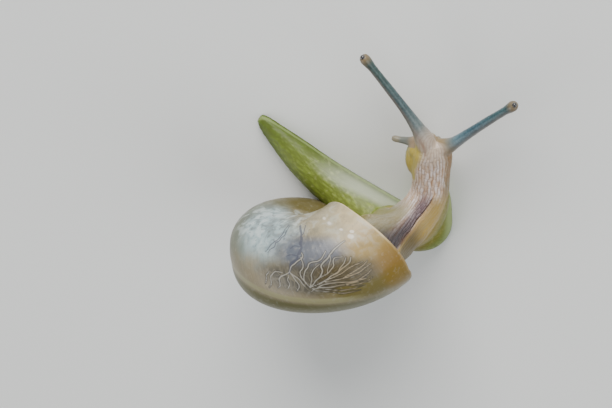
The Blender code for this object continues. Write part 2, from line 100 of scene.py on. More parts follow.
# ---- veins of the lung roof under the shell: degrees behind the lip, section angle ----------------
ROOT, UPPER_FORK, MIDDLE_FORK, LOWER_FORK = (-52.0, -8.0), (-43.5, -18.5), (-46.0, -11.5), (-49.0, -6.5)
GILL_KNOT = (-60.5, -23.0)
VEINS = [
    (0.12, [ROOT, UPPER_FORK, (-41.0, -24.5), (-40.0, -32.0), (-35.0, -38.5), (-26.5, -48.5),
            (-20.0, -53.0)]),
    (0.10, [UPPER_FORK, (-38.0, -23.5), (-33.0, -30.5), (-31.0, -37.5), (-26.5, -37.5)]),
    (0.08, [(-39.0, -22.5), (-36.5, -29.0), (-33.5, -36.0), (-32.5, -42.0)]),
    (0.09, [ROOT, (-50.0, -15.0), (-47.5, -21.5), (-44.5, -27.5), (-40.5, -33.0)]),
    (0.10, [ROOT, (-53.0, -18.0), (-51.0, -24.5), (-45.5, -34.5), (-40.0, -37.0), (-34.0, -46.0)]),
    (0.12, [MIDDLE_FORK, (-40.0, -17.0), (-33.5, -23.0), (-26.0, -29.0), (-22.5, -35.0)]),
    (0.10, [(-38.5, -18.5), (-33.0, -23.5), (-28.0, -30.0), (-25.0, -36.0)]),
    (0.10, [ROOT, MIDDLE_FORK, (-39.0, -16.5), (-32.0, -20.5), (-25.0, -25.0), (-18.5, -27.5)]),
    (0.11, [(-42.5, -13.5), (-34.5, -14.5), (-27.0, -16.5), (-19.5, -20.5), (-15.5, -23.0)]),
    (0.10, [(-33.0, -15.0), (-26.0, -19.5), (-20.0, -23.5), (-16.0, -27.0)]),
    (0.12, [ROOT, LOWER_FORK, (-44.5, -11.0), (-36.0, -11.0), (-28.5, -10.5), (-21.0, -14.0),
            (-17.0, -17.0)]),
    (0.12, [(-52.5, -3.0), LOWER_FORK, (-43.0, -8.5), (-35.0, -8.0), (-28.0, -9.0), (-21.5, -10.5)]),
    (0.10, [(-33.0, -8.5), (-27.5, -6.0), (-22.5, -7.0), (-18.5, -9.5)]),
    (0.10, [(-50.0, -4.0), (-44.0, -5.5), (-37.0, -3.5), (-30.0, -3.0), (-24.0, -4.0)]),
    (0.09, [(-47.0, -3.5), (-40.0, -1.0), (-33.0, 0.5), (-27.0, 0.0)]),
    (0.11, [GILL_KNOT, (-55.5, -32.5), (-50.0, -40.5), (-49.3, -45.5)]),
    (0.10, [(-50.5, -40.5), (-50.5, -34.0), (-52.0, -27.0), (-54.0, -19.0), ROOT]),
    (0.11, [GILL_KNOT, (-57.5, -18.0), (-55.0, -14.0), (-54.0, -8.0)]),
    (0.11, [GILL_KNOT, (-59.5, -17.5), (-57.5, -12.5), (-58.0, -7.5), (-60.5, -2.0)]),
    (0.12, [GILL_KNOT, (-66.0, -18.0), (-68.5, -12.5), (-69.5, -6.5), (-72.0, -2.0)]),
    (0.10, [(-62.0, -19.5), (-63.5, -10.5), (-65.5, -3.5)]),
    (0.11, [(-65.0, -20.5), (-71.0, -19.5), (-74.0, -13.5), (-75.5, -6.0), (-78.5, 0.5)]),
    (0.10, [(-74.5, -19.0), (-78.0, -11.0), (-80.5, -2.0)]),
]
DARK_VESSELS = [
    (0.16, [(-61.0, -21.0), (-58.5, -30.5), (-53.5, -38.0), (-50.5, -46.0), (-48.8, -57.0), (-47.0, -66.0),
            (-49.0, -79.0)]),
    (0.07, [(-62.0, -80.0), (-65.0, -63.5), (-71.0, -51.0), (-76.5, -39.0)]),
    (0.07, [(-60.5, -78.0), (-63.0, -63.0), (-69.0, -50.0), (-74.5, -39.0)]),
    (0.06, [(-47.0, -66.0), (-44.0, -72.0), (-43.5, -80.0)]),
    (0.06, [(-49.5, -52.0), (-53.5, -52.5), (-57.0, -49.0)]),
    (0.06, [(-52.0, -40.5), (-57.0, -42.5), (-60.5, -40.0)]),
]
TURN_ARC, SECTION_ARC = 0.155, 0.096    # distance that a degree takes, along and across the whorl
VEIN_SEED = 7
VEIN_STEP = 0.7                 # degrees between the points of a vein
VEIN_WANDER = 0.55              # degrees that a vein wavers to either side
VEIN_WAVE, WAVE_SCALE = 15, 3.0         # points that a waver takes, and what brings it to about one
VEIN_TAPER, VEIN_BROAD = 0.16, 0.72     # narrowing towards the ends, and the widest share of the width
VEIN_FAR = 20.0                 # vein widths beyond which the distance doesn't matter

# ---- colour patches: middle and reach in the same degrees, wander of the edge, amount, colour -----
GROUND_AND_REFLECTION_PATCHES = [
    # the first is a pale bluish painted reflection on the upper part of the last whorl
    ((-105.0, -62.0), (62.0, 48.0), 0.8, 0.95, (0.290, 0.380, 0.400)),
    ((-142.0, -48.0), (32.0, 44.0), 0.8, 0.75, (0.135, 0.160, 0.120)),
    ((-138.0, -24.0), (44.0, 36.0), 0.8, 0.85, (0.085, 0.093, 0.048)),
    ((-10.0, -78.0), (34.0, 34.0), 0.8, 0.90, (0.36, 0.310, 0.200)),
    ((-3.0, -70.0), (14.0, 26.0), 0.8, 0.80, (0.48, 0.385, 0.22)),
    ((-8.0, -44.0), (20.0, 22.0), 0.8, 0.90, (0.32, 0.225, 0.085)),
]
LUNG_PATCHES = [
    ((-47.0, -44.0), (27.0, 27.0), 0.7, 0.88, (0.080, 0.091, 0.122)),
    ((-55.0, -16.0), (31.0, 21.0), 0.5, 0.92, (0.062, 0.057, 0.045)),
    ((-29.0, -17.0), (22.0, 20.0), 0.5, 0.92, (0.062, 0.045, 0.016)),
    ((-1.0, -9.0), (16.0, 30.0), 0.6, 0.90, (0.185, 0.098, 0.002)),
    ((-21.0, 5.0), (28.0, 17.0), 0.5, 0.88, (0.125, 0.100, 0.018)),
    ((-4.0, 5.0), (13.0, 20.0), 0.5, 0.85, (0.180, 0.110, 0.006)),
    ((-190.0, -80.0), (60.0, 42.0), 0.5, 0.85, (0.092, 0.074, 0.016)),
]
# small painted highlights: degrees behind the lip, section angle, reach
GLINTS = [(-24.0, -85.0, 2.2), (-22.0, -77.0, 2.6), (-15.0, -56.0, 2.0), (-17.0, -66.0, 1.4),
          (-12.0, -60.0, 1.2)]

# ---- foot: x, y on the floor, half width, height --------------------------------------------------
SOLE_DEPTH = 0.15               # built this far under the floor, then cut flat
MARGIN = 0.45                   # height of the upright edge
FOOT = [(-12.30, 0.46, 0.30, 0.45), (-11.70, 0.40, 0.60, 0.75), (-10.05, 0.18, 0.98, 1.15),
        (-7.75, -0.08, 1.42, 1.70), (-5.40, -0.26, 1.70, 2.10), (-3.00, -0.22, 1.88, 2.50),
        (0.00, 0.00, 2.05, 3.20), (2.30, 0.35, 2.05, 3.40), (3.80, 0.98, 1.85, 3.10),
        (4.50, 2.05, 2.28, 2.70), (4.05, 3.40, 2.06, 2.40), (3.45, 4.75, 1.68, 2.00),
        (2.95, 5.70, 1.20, 1.50), (2.70, 6.20, 0.60, 1.00)]
COLLAR_STEP = 9.0               # degrees of turn behind the lip
COLLAR = [(-1.8, 0.98), (-0.4, 0.985), (0.4, 0.95), (1.0, 0.86), (1.4, 0.66), (1.6, 0.42)]

# ---- trunk: centre, half width, half height -------------------------------------------------------
STALK = [(1.74, 2.72, 8.60, 2.66, 2.22), (2.14, 2.34, 7.20, 2.48, 2.10), (2.48, 1.92, 5.60, 2.38, 2.03),
         (2.66, 1.50, 4.00, 2.40, 2.06), (2.70, 1.20, 2.60, 2.30, 2.00)]
NECK = [(0.85, 2.90, 10.90, 1.75, 1.75), (1.35, 3.00, 9.60, 1.95, 1.95), (1.90, 2.95, 8.10, 2.10, 2.00),
        (2.45, 2.85, 6.60, 2.15, 2.00), (2.95, 3.15, 5.20, 2.05, 1.95),
        (3.25, 3.95, 4.15, 1.92, 1.85), (3.32, 5.25, 3.65, 1.68, 1.60), (2.98, 6.95, 3.55, 1.58, 1.45),
        (2.42, 8.12, 3.65, 1.55, 1.42), (1.94, 9.02, 3.85, 1.58, 1.40), (1.50, 10.00, 4.08, 1.62, 1.40),
        (1.10, 10.90, 4.42, 1.60, 1.32), (0.80, 11.55, 4.60, 1.35, 1.10), (0.60, 12.00, 4.68, 0.85, 0.75)]
BEND = [(2.50, 3.40, 6.95, 1.52, 1.55), (2.95, 4.45, 5.02, 1.45, 1.55), (3.05, 5.75, 4.06, 1.40, 1.50),
        (2.90, 7.20, 3.60, 1.35, 1.40)]
FLANK = [(3.60, 1.00, 2.10, 1.30, 1.50), (4.10, 2.20, 2.10, 1.45, 1.60), (4.20, 3.40, 2.00, 1.50, 1.60),
         (3.95, 5.00, 2.00, 1.40, 1.55), (3.45, 6.50, 2.30, 1.20, 1.20)]
MOUTH_LOBE = ((0.50, 9.15, 3.58), (1.18, 1.00, 1.90))
LIP_LOBE = ((0.25, 10.95, 3.75), (0.95, 0.85, 0.95))
LIP_SIDE = ((-0.05, 10.22, 4.35), (0.80, 0.72, 0.85))
HEAD_AHEAD = (-0.42, 0.88, 0.21)
TRUNK_UP, STALK_UP, FEELER_UP, FLOOR_UP = (0.35, 0.1, 1), (0.3, 1, 0), (0, 0.3, 1), (0, 0, 1)
# every part of the trunk with its upward direction, and how much less far its kind of skin reaches
TRUNK = ((STALK, STALK_UP, 0.0), (NECK, TRUNK_UP, 0.0), (BEND, TRUNK_UP, 0.0), (FLANK, FLOOR_UP, 0.1))

# ---- feelers: points on the middle line and the radius at each -----------------------------------
FEELERS = {
    "upper_left": [(0.35, 11.35, 4.85, 0.90), (-0.35, 12.05, 5.18, 0.78), (-1.30, 12.68, 5.45, 0.57),
                   (-3.00, 13.60, 5.85, 0.42), (-5.20, 14.62, 6.32, 0.37), (-7.00, 15.40, 6.66, 0.34),
                   (-7.74, 15.69, 6.78, 0.42), (-8.14, 15.84, 6.84, 0.44), (-8.42, 15.95, 6.88, 0.28)],
    "upper_right": [(1.20, 11.60, 4.55, 0.80), (1.72, 12.35, 4.55, 0.70), (2.02, 13.20, 4.70, 0.52),
                    (2.48, 15.20, 5.15, 0.41), (3.00, 17.40, 5.70, 0.37), (3.50, 19.40, 6.25, 0.34),
                    (3.70, 20.15, 6.44, 0.42), (3.79, 20.56, 6.54, 0.44), (3.86, 20.85, 6.60, 0.28)],
    "lower_left": [(0.05, 10.80, 4.20, 0.78), (-0.66, 10.46, 4.18, 0.52), (-1.10, 10.20, 4.17, 0.36),
                   (-1.65, 9.87, 4.19, 0.28), (-2.12, 9.62, 4.20, 0.27), (-2.32, 9.52, 4.20, 0.17)],
    "lower_right": [(0.76, 10.80, 3.40, 0.62), (0.78, 10.62, 2.85, 0.42), (0.82, 10.50, 2.40, 0.32),
                    (0.86, 10.36, 1.80, 0.26), (0.90, 10.25, 1.28, 0.28), (0.91, 10.21, 1.08, 0.16)],
}
PALE_SIDE = (0.60, -0.65, 0.47)  # direction that the paler side of every feeler faces
FEELER_STEPS, FEELER_NEAR = 120, 1.2    # places along a feeler, and how far from it is near
EYE_RADIUS = 0.21

# ---- skin relief ----------------------------------------------------------------------------------
MELT_VOXEL, MELT_ROUNDS = 0.085, 32     # cell size and smoothing where body parts melt together
SKIN_VOXEL, SKIN_ROUNDS = 0.064, 4      # the same for the whole skin with its feelers
PATH_STEPS, LINE_STEPS = 260, 160       # places along a part of the trunk, and along a marking
SKIN_FACES = 185000             # triangles left after the plain parts are made coarser
# the middle line that the rows of tubercles follow, like a part of the trunk
ROWS = [(1.60, 1.70, 9.80, 2.20, 2.10), (2.10, 3.05, 7.60, 2.10, 2.00), (2.50, 4.35, 5.80, 2.00, 1.90),
        (2.75, 5.65, 4.45, 1.85, 1.70), (2.75, 6.94, 3.70, 1.68, 1.48), (2.35, 8.10, 3.65, 1.62, 1.42),
        (1.92, 9.00, 3.85, 1.60, 1.40)] + NECK[-4:]
ROW_WIDTH = 10.5                # degrees round the neck that a row of tubercles takes
BEAD_LENGTH = 0.75              # length of a tubercle along its row
BEAD_HEIGHT = 0.055
NET_SIZE = 0.42                 # mesh width of the net of grooves on the foot
NET_HEIGHT = 0.034
FRINGE_PITCH = 0.27
ROW_ARC = 0.030                 # distance round the neck that a degree takes
# crease and purple stain: distance along that line, degrees round it
CREASE = [(3.05, -7.0), (4.6, -12.5), (5.9, -10.0), (7.1, -9.0), (8.2, -9.5), (9.3, -8.1)]
CREASE_DEPTH, CREASE_WIDTH = 0.12, 0.10
STAIN = [(1.7, 19.0), (2.4, 13.0), (3.3, 8.0), (4.3, 3.0), (5.6, 1.0), (6.95, 4.5), (8.6, 5.5), (10.6, 7.0)]
# groove of the cheek, side of the mouth and inside of the neck's bend: places on the skin
CHEEK = [(-1.12, 12.42, 5.98), (-0.67, 12.19, 5.96), (-0.22, 11.96, 5.94), (0.37, 11.54, 5.83),
         (0.74, 10.94, 5.75), (0.95, 10.50, 5.72)]
MOUTH_SIDE = [(-0.25, 10.30, 4.90), (0.00, 9.60, 4.75), (0.35, 8.80, 4.45), (0.85, 8.10, 4.45)]
INNER_BEND, BEND_REACH, BEND_ROUNDS = (2.40, 5.30, 5.60), 1.6, 30
BUMP_DEPTH = 0.00004            # in metres
SKIN_MAPS = ("height", "foot_along", "foot_side", "net", "trunk", "rows", "plain", "row_along",
             "row_round", "pale", "crease", "stain", "stain_along", "mouth", "cheek", "feeler",
             "underside", "lower")

# ---- light, floor and camera ----------------------------------------------------------------------
# place of the camera, and its three directions
CAMERA_AT = (-10.284, 164.874, 241.343)
CAMERA_RIGHT = (0.80200, 0.49813, -0.32964)
CAMERA_UP = (-0.59700, 0.65052, -0.46948)
CAMERA_BACK = (-0.01943, 0.57332, 0.81910)
CAMERA_LENS = 200.0
FLOOR_RADIUS, FLOOR_GAP = 4.0, 0.00003  # in metres; the gap keeps the floor just under the sole
LAMPS = {                       # direction from the animal, width, watts and colour
    "key": ((-0.45, 0.80, 0.42), 0.40, 4.7, (1.0, 0.98, 0.95)),
    "fill": ((0.75, 0.30, 0.55), 0.42, 1.25, (0.95, 0.98, 1.0)),
    "back": ((-0.25, -0.70, 0.60), 0.42, 1.1, (1.0, 1.0, 1.0)),
}
LAMP_DISTANCE = 0.5             # metres for a direction of length one


# ---------------------------------------------------------------- node trees
class Term:
    """A value in a node tree; sums, products and powers of terms become Math nodes."""

    def __init__(self, graph, socket):
        self.graph, self.socket = graph, socket

    def above(self, other):
        return self.graph.math("GREATER_THAN", self, other)

    def size(self):
        return self.graph.math("ABSOLUTE", self)


def add_operator(name, operation):
    """Teach Term an operator, with the term on either side of it."""
    setattr(Term, f"__{name}__", lambda term, other: term.graph.math(operation, term, other))
    setattr(Term, f"__r{name}__", lambda term, other: term.graph.math(operation, other, term))


for operator, its_node in (("add", "ADD"), ("sub", "SUBTRACT"), ("mul", "MULTIPLY"),
                           ("truediv", "DIVIDE"), ("pow", "POWER")):
    add_operator(operator, its_node)


class Graph:
    """A node tree, with short calls for the nodes that this model uses."""

    def __init__(self, tree):
        self.tree, self.exit = tree, None

    def node(self, kind, inputs=None, **settings):
        made = self.tree.nodes.new(kind)
        for key, value in settings.items():
            setattr(made, key, value)
        for key, value in (inputs or {}).items():
            self.feed(made.inputs[key], value)
        return made

    def feed(self, socket, value):
        if isinstance(value, Term):
            self.tree.links.new(value.socket, socket)
        else:
            socket.default_value = value

    def out(self, kind, name, inputs=None, **settings):
        return Term(self, self.node(kind, inputs, **settings).outputs[name])

    def math(self, operation, *values):
        return self.out("ShaderNodeMath", 0, dict(enumerate(values)), operation=operation)

    def sine(self, degrees):
        return self.math("SINE", degrees * (math.pi / 180))

    def cosine(self, degrees):
        return self.math("COSINE", degrees * (math.pi / 180))

    def vector(self, x, y, z):
        return self.out("ShaderNodeCombineXYZ", 0, {0: x, 1: y, 2: z})

    def split(self, vector):
        made = self.node("ShaderNodeSeparateXYZ", {0: vector})
        return [Term(self, made.outputs[k]) for k in range(3)]

    def stretch(self, vector, scale):
        return self.out("ShaderNodeVectorMath", 0, {0: vector, 1: scale}, operation="MULTIPLY")

    def shift(self, vector, offset):
        return self.out("ShaderNodeVectorMath", 0, {0: vector, 1: offset}, operation="ADD")

    def ramp(self, value, low, high, first=0.0, last=1.0):
        return self.out("ShaderNodeMapRange", 0, {0: value, 1: low, 2: high, 3: first, 4: last},
                        interpolation_type="SMOOTHSTEP")

    def mix(self, factor, first, second, way="MIX"):
        made = self.node("ShaderNodeMix", data_type="RGBA", blend_type=way)
        for key, value in ((0, factor), (6, first), (7, second)):
            self.feed(made.inputs[key], value)
        return Term(self, made.outputs[2])

    def noise(self, vector, scale, detail=2.0, distortion=0.0):
        return self.out("ShaderNodeTexNoise", "Fac", {"Vector": vector, "Scale": scale, "Detail": detail,
                                                      "Distortion": distortion})

    def cell_edges(self, vector, scale, jitter=1.0):
        return self.out("ShaderNodeTexVoronoi", "Distance", {"Vector": vector, "Scale": scale,
                                                             "Randomness": jitter},
                        feature="DISTANCE_TO_EDGE")

    def clamp(self, value):
        return self.math("MINIMUM", self.math("MAXIMUM", value, 0.0), 1.0)

    def blend(self, factor, first, second):
        """Between two plain colours."""
        return self.mix(factor, (*first, 1), (*second, 1))

    def coats(self, colour, *coats):
        """A colour under coats of others, each a mask, an amount and a plain colour."""
        for mask, amount, shade in coats:
            colour = self.mix(mask * amount, colour, (*shade, 1))
        return colour

    def in_geometry(self):
        return self.tree.bl_idname == "GeometryNodeTree"

    def group(self, tree, inputs, name=0):
        kind = "GeometryNodeGroup" if self.in_geometry() else "ShaderNodeGroup"
        return self.out(kind, name, inputs, node_tree=tree)

    def stored(self, name):
        """An attribute of the mesh, in a geometry tree or in a material."""
        if self.in_geometry():
            return self.out("GeometryNodeInputNamedAttribute", "Attribute", {"Name": name},
                            data_type="FLOAT")
        return self.out("ShaderNodeAttribute", "Fac", attribute_name=name)

    def store(self, geometry, name, value):
        return self.out("GeometryNodeStoreNamedAttribute", "Geometry",
                        {"Geometry": geometry, "Name": name, "Value": value}, data_type="FLOAT",
                        domain="POINT")

    def millimetres(self):
        """The place on the object, in millimetres."""
        return self.stretch(self.out("ShaderNodeTexCoord", "Object"), (1 / MM,) * 3)

    def bump(self, height, strength):
        return self.out("ShaderNodeBump", 0, {"Strength": strength, "Distance": BUMP_DEPTH,
                                              "Height": height})

    def wire(self, node, values):
        for key, value in values.items():
            self.feed(node.inputs[key], value)

    def give(self, **values):
        """Wire the outputs of a group and hand over its tree."""
        self.wire(self.exit, values)
        return self.tree


def new_group(name, kind, inputs, outputs):
    """A node group; inputs are name: default or socket type, outputs are name: socket type."""
    tree = bpy.data.node_groups.new(name, kind)
    for key, value in inputs.items():
        if isinstance(value, str):
            tree.interface.new_socket(key, in_out="INPUT", socket_type=value)
        else:
            whole = isinstance(value, int)
            made = tree.interface.new_socket(
                key, in_out="INPUT", socket_type="NodeSocketInt" if whole else "NodeSocketFloat")
            made.default_value = value
    for key, value in outputs.items():
        tree.interface.new_socket(key, in_out="OUTPUT", socket_type=value)
    graph = Graph(tree)
    entry = graph.node("NodeGroupInput")
    graph.exit = graph.node("NodeGroupOutput")
    return graph, {key: Term(graph, entry.outputs[key]) for key in inputs}


def finish_tree(graph, shape, material):
    """Smooth shading, real geometry and the material, then out of the tree."""
    shape = graph.out("GeometryNodeSetShadeSmooth", 0, {"Geometry": shape})
    shape = graph.out("GeometryNodeRealizeInstances", 0, {"Geometry": shape})
    shape = graph.out("GeometryNodeSetMaterial", 0, {"Geometry": shape, "Material": material})
    return graph.give(Geometry=shape)


# ---------------------------------------------------------------- meshes
def add_object(name, data):
    made = bpy.data.objects.new(name, data)
    bpy.context.scene.collection.objects.link(made)
    return made


def finished_mesh(item):
    """The mesh that an object's modifiers make; the object itself goes."""
    bpy.context.view_layer.update()
    seen = item.evaluated_get(bpy.context.evaluated_depsgraph_get())
    mesh = bpy.data.meshes.new_from_object(seen)
    bpy.data.objects.remove(item, do_unlink=True)
    return mesh


def solid_object(name, shape, look):
    """A plain object of one finish from a bmesh, which is freed."""
    mesh = bpy.data.meshes.new(name)
    shape.to_mesh(mesh)
    shape.free()
    mesh.materials.append(look)
    return add_object(name, mesh)


def grown_mesh(name, base, tree, values):
    """Run a geometry tree on a mesh once and keep the result as a plain object."""
    start = add_object(name + "_start", base)
    step = start.modifiers.new("grow", "NODES")
    step.node_group = tree
    for item in tree.interface.items_tree:
        if item.in_out == "INPUT" and item.name in values:
            step[item.identifier] = values[item.name]
    mesh = finished_mesh(start)
    mesh.name = name
    return add_object(name, mesh)


# ---------------------------------------------------------------- shell
def whorl_point_group():
    """A point of the shell from the degrees behind the lip, the section angle and the depth inward."""
    graph, size = new_group(
        "Whorl Point", "GeometryNodeTree",
        {"Turn": 0.0, "Angle": 0.0, "Inward": 0.0, **SHELL}, {"Position": "NodeSocketVector"})
    angle = size["Angle"]
    c, s = graph.cosine(angle), graph.sine(angle)
    upper, outer = s.above(0.0), c.above(0.0)
    exponent = 2.0 / (size["Base Power"] + (size["Shoulder Power"] - size["Base Power"]) * upper)
    reach = size["Reach In"] + (size["Reach Out"] - size["Reach In"]) * outer
    tall = size["Fall"] + (size["Rise"] - size["Fall"]) * upper
    across = reach * graph.math("SIGN", c) * c.size() ** exponent
    high = tall * graph.math("SIGN", s) * s.size() ** exponent
    from_middle = graph.math("SQRT", across * across + high * high)
    keep = 1.0 - size["Inward"] / from_middle
    across, high = across * keep, high * keep
    span = size["Suture Top"] - size["Umbilicus"]
    lag = size["Suture Lag"] * span / (size["Suture Top"] - size["Suture On"])
    degrees = size["Turn"] - lag * (size["Suture Top"] - angle) / span
    shoulder = (angle - size["Suture On"]) / (size["Suture Top"] - size["Suture On"])
    hump = graph.math("SINE", graph.clamp(shoulder) * math.pi)
    away = (degrees - size["Swell At"]) / size["Swell Span"]
    fuller = 1.0 + size["Swell"] * hump * hump * math.e ** (-1.0 * away * away)
    scale = size["Expansion"] ** (degrees / 360.0)
    radius = (size["Whorl Radius"] + across * fuller) * scale
    height = (size["Level"] + high * fuller) * scale ** size["Lift Power"]
    around = size["Phase"] - degrees
    place = graph.vector(radius * graph.cosine(around), radius * graph.sine(around), height)
    turned = graph.out("ShaderNodeVectorRotate", 0,
                       {"Vector": place, "Rotation": [math.radians(a) for a in SHELL_TURN]},
                       rotation_type="EULER_XYZ")
    return graph.give(Position=graph.stretch(graph.shift(turned, SHELL_TIP), (MM, MM, MM)))


def shell_tree():
    """Rings of the growing whorl, from the tip of the spire to the rounded lip and back inside it."""
    whorl = whorl_point_group()
    graph, given = new_group(
        "Snail Shell", "GeometryNodeTree",
        {"Geometry": "NodeSocketGeometry", "Veins": "NodeSocketObject", "Dark Vessels": "NodeSocketObject",
         "Rings": RINGS, "Lip Rings": LIP_RINGS, "Section Points": SECTION_POINTS,
         "Wall Points": WALL_POINTS, "Lip Wall": LIP_WALL, "Lip Round": LIP_ROUND,
         "Lip Depth": LIP_DEPTH, "Growth Relief": GROWTH_RELIEF, "Material": "NodeSocketMaterial", **SHELL},
        {"Geometry": "NodeSocketGeometry"})
    sizes = {key: given[key] for key in SHELL}
    rows = given["Rings"] + given["Lip Rings"]
    columns = given["Section Points"] + given["Wall Points"]
    grid = graph.out("GeometryNodeMeshGrid", "Mesh",
                     {"Size X": 1.0, "Size Y": 1.0, "Vertices X": rows, "Vertices Y": columns})
    x, y, _ = graph.split(graph.out("GeometryNodeInputPosition", 0))
    ring = (x + 0.5) * (rows - 1.0)
    spot = (y + 0.5) * (columns - 1.0)

    last = given["Rings"] - 1.0
    left = 1.0 - graph.clamp(ring / last)
    back = FINE_BACK * left + (SHELL_BACK - FINE_BACK) * left ** 5.0
    beyond = graph.clamp((ring - last) / given["Lip Rings"])
    rounding = graph.clamp(beyond / EDGE_SHARE) * 180.0
    deeper = graph.clamp((beyond - EDGE_SHARE) / (1.0 - EDGE_SHARE))
    turn = given["Lip Round"] * graph.sine(rounding) - back - given["Lip Depth"] * deeper
    inward = given["Lip Wall"] * (1.0 - graph.cosine(rounding)) * 0.5

    outer_end = given["Section Points"] - 1.0
    # the section's points lie closer together at its rim, where the veins are
    swing = 1.0 - 2.0 * graph.clamp(spot / outer_end)
    middle = (given["Suture Top"] + given["Umbilicus"]) * 0.5
    half = (given["Suture Top"] - given["Umbilicus"]) * 0.5
    angle = middle + half * (0.58 * swing + 0.42 * swing ** 3.0)
    on_wall = spot.above(outer_end + 0.5)
    wall_share = graph.clamp((spot - outer_end) / given["Wall Points"])
    wall_angle = given["Umbilicus"] + (given["Suture On"] - given["Umbilicus"]) * wall_share
    wall_turn = turn - (360.0 - given["Suture Lag"])
    sunk = 0.2 * graph.sine(wall_share * 180.0)

    noise = graph.noise(graph.vector(turn * 0.55, angle * 0.012, 0.0), 1.0, 3.0)
    relief = given["Growth Relief"] * (noise - 0.5) * 2.0
    both = {"Turn": turn + (wall_turn - turn) * on_wall,
            "Angle": angle + (wall_angle - angle) * on_wall,
            "Inward": inward + relief + sunk * on_wall}
    shape = graph.store(grid, "turn", turn - WALL_BACK * on_wall)
    shape = graph.store(shape, "angle", angle)
    place = graph.group(whorl, {**both, **sizes})
    shape = graph.out("GeometryNodeSetPosition", 0, {"Geometry": shape, "Position": place})

    for name, source in (("vein", "Veins"), ("vessel", "Dark Vessels")):
        strokes = graph.out("GeometryNodeObjectInfo", "Geometry", {"Object": given[source]})
        along, aside, width = graph.split(graph.out("GeometryNodeInputPosition", 0))
        strokes = graph.store(strokes, "width", width)
        laid = graph.group(whorl, {"Turn": along, "Angle": aside, "Inward": 0.0, **sizes})
        strokes = graph.out("GeometryNodeSetPosition", 0, {"Geometry": strokes, "Position": laid})
        near = graph.node("GeometryNodeProximity", {0: strokes}, target_element="EDGES")
        index = graph.out("GeometryNodeSampleNearest", 0, {0: strokes}, domain="POINT")
        wide = graph.out("GeometryNodeSampleIndex", 0,
                         {0: strokes, "Value": graph.stored("width"), "Index": index}, data_type="FLOAT")
        apart = Term(graph, near.outputs["Distance"]) / MM / wide
        shape = graph.store(shape, name, graph.math("MINIMUM", apart, VEIN_FAR))
    shape = graph.out("GeometryNodeMergeByDistance", 0, {"Geometry": shape, "Distance": 2e-7})
    return finish_tree(graph, shape, given["Material"])


def running_length(points):
    return np.concatenate([[0], np.cumsum(np.linalg.norm(np.diff(points, axis=0), axis=1))])


def smooth_path(rows, count):
    """Rows of numbers along a smooth curve through the given rows, evenly by arc length."""
    rows = np.array(rows, float)
    padded = np.vstack([2 * rows[0] - rows[1], rows, 2 * rows[-1] - rows[-2]])
    fine = []
    for a, b, c, d in zip(padded, padded[1:], padded[2:], padded[3:]):
        for t in np.linspace(0, 1, 40, endpoint=False):
            fine.append(0.5 * (2 * b + (c - a) * t + (2 * a - 5 * b + 4 * c - d) * t * t
                               + (3 * b - a - 3 * c + d) * t ** 3))
    fine = np.array(fine + [rows[-1]])
    reach = 3 if rows.shape[1] > 3 else 2
    run = running_length(fine[:, :reach])
    spots = np.linspace(0, run[-1], count)
    return np.stack([np.interp(spots, run, fine[:, k]) for k in range(rows.shape[1])], axis=1)


def stroke_object(name, strokes, draw):
    """Veins as edge chains whose x, y and z are degrees back, section angle and width."""
    points, edges = [], []
    for width, route in strokes:
        flat = np.array(route, float)
        length = np.linalg.norm(np.diff(flat, axis=0), axis=1).sum()
        count = max(6, int(length / VEIN_STEP))
        line = smooth_path(flat, count)
        wave = np.convolve(draw.normal(size=count + 12), np.hanning(VEIN_WAVE) / WAVE_SCALE, "same")[6:-6]
        sway = np.stack([-np.gradient(line[:, 1]), np.gradient(line[:, 0])], axis=1)
        sway /= np.linalg.norm(sway, axis=1, keepdims=True)
        ends = np.sin(np.pi * np.linspace(0, 1, count)) ** 0.5
        line += sway * (wave * VEIN_WANDER * ends)[:, None]
        taper = np.sin(np.pi * np.linspace(VEIN_TAPER, 1 - VEIN_TAPER, count)) ** 0.5 * width * VEIN_BROAD
        first = len(points)
        points += [(x, y, w) for (x, y), w in zip(line, taper)]
        edges += [(first + k, first + k + 1) for k in range(count - 1)]
    mesh = bpy.data.meshes.new(name)
    mesh.from_pydata(points, edges, [])
    return add_object(name, mesh)


def build_shell(look):
    """The whole shell as one closed mesh, with its rim rounded and its lowest part flat on the floor."""
    draw = np.random.default_rng(VEIN_SEED)
    veins = stroke_object("vein_strokes", VEINS, draw)
    vessels = stroke_object("vessel_strokes", DARK_VESSELS, draw)
    shell = grown_mesh("shell", bpy.data.meshes.new("empty"), shell_tree(),
                       {"Veins": veins, "Dark Vessels": vessels, "Material": look})
    for strokes in (veins, vessels):
        bpy.data.objects.remove(strokes, do_unlink=True)
    rounding, back = vertex_values(shell.data, "angle"), vertex_values(shell.data, "turn")
    weight = np.exp(-(rounding / RIM_SOFT) ** 4) * (back < -LIP_FIRM)
    spots = softened(vertex_array(shell.data), shell.data, weight, RIM_ROUNDS)
    shell.data.vertices.foreach_set("co", spots.ravel())
    shape = bmesh.new()
    shape.from_mesh(shell.data)
    bmesh.ops.holes_fill(shape, edges=[e for e in shape.edges if e.is_boundary], sides=0)
    bmesh.ops.recalc_face_normals(shape, faces=shape.faces)
    for vert in shape.verts:
        vert.co.z = max(vert.co.z, 0.0)
    shape.to_mesh(shell.data)
    shape.free()
    return shell


# ---------------------------------------------------------------- skin
def frames(path, up):
    """Tangent, side and upward directions at each point of a path."""
    along = np.gradient(path, axis=0)
    along /= np.linalg.norm(along, axis=1, keepdims=True)
    side = np.cross(np.array(up, float), along)
    side /= np.linalg.norm(side, axis=1, keepdims=True)
    return along, side, np.cross(along, side)


def loft(rings):
    """A closed mesh through rings of points, as vertices and faces."""
    count = len(rings[0])
    points = [tuple(p) for ring in rings for p in ring]
    faces = []
    for row in range(len(rings) - 1):
        for k in range(count):
            a, b = row * count + k, row * count + (k + 1) % count
            faces.append((a, b, b + count, a + count))
    faces += [tuple(range(count)), tuple(range(len(points) - count, len(points)))]
    return points, faces


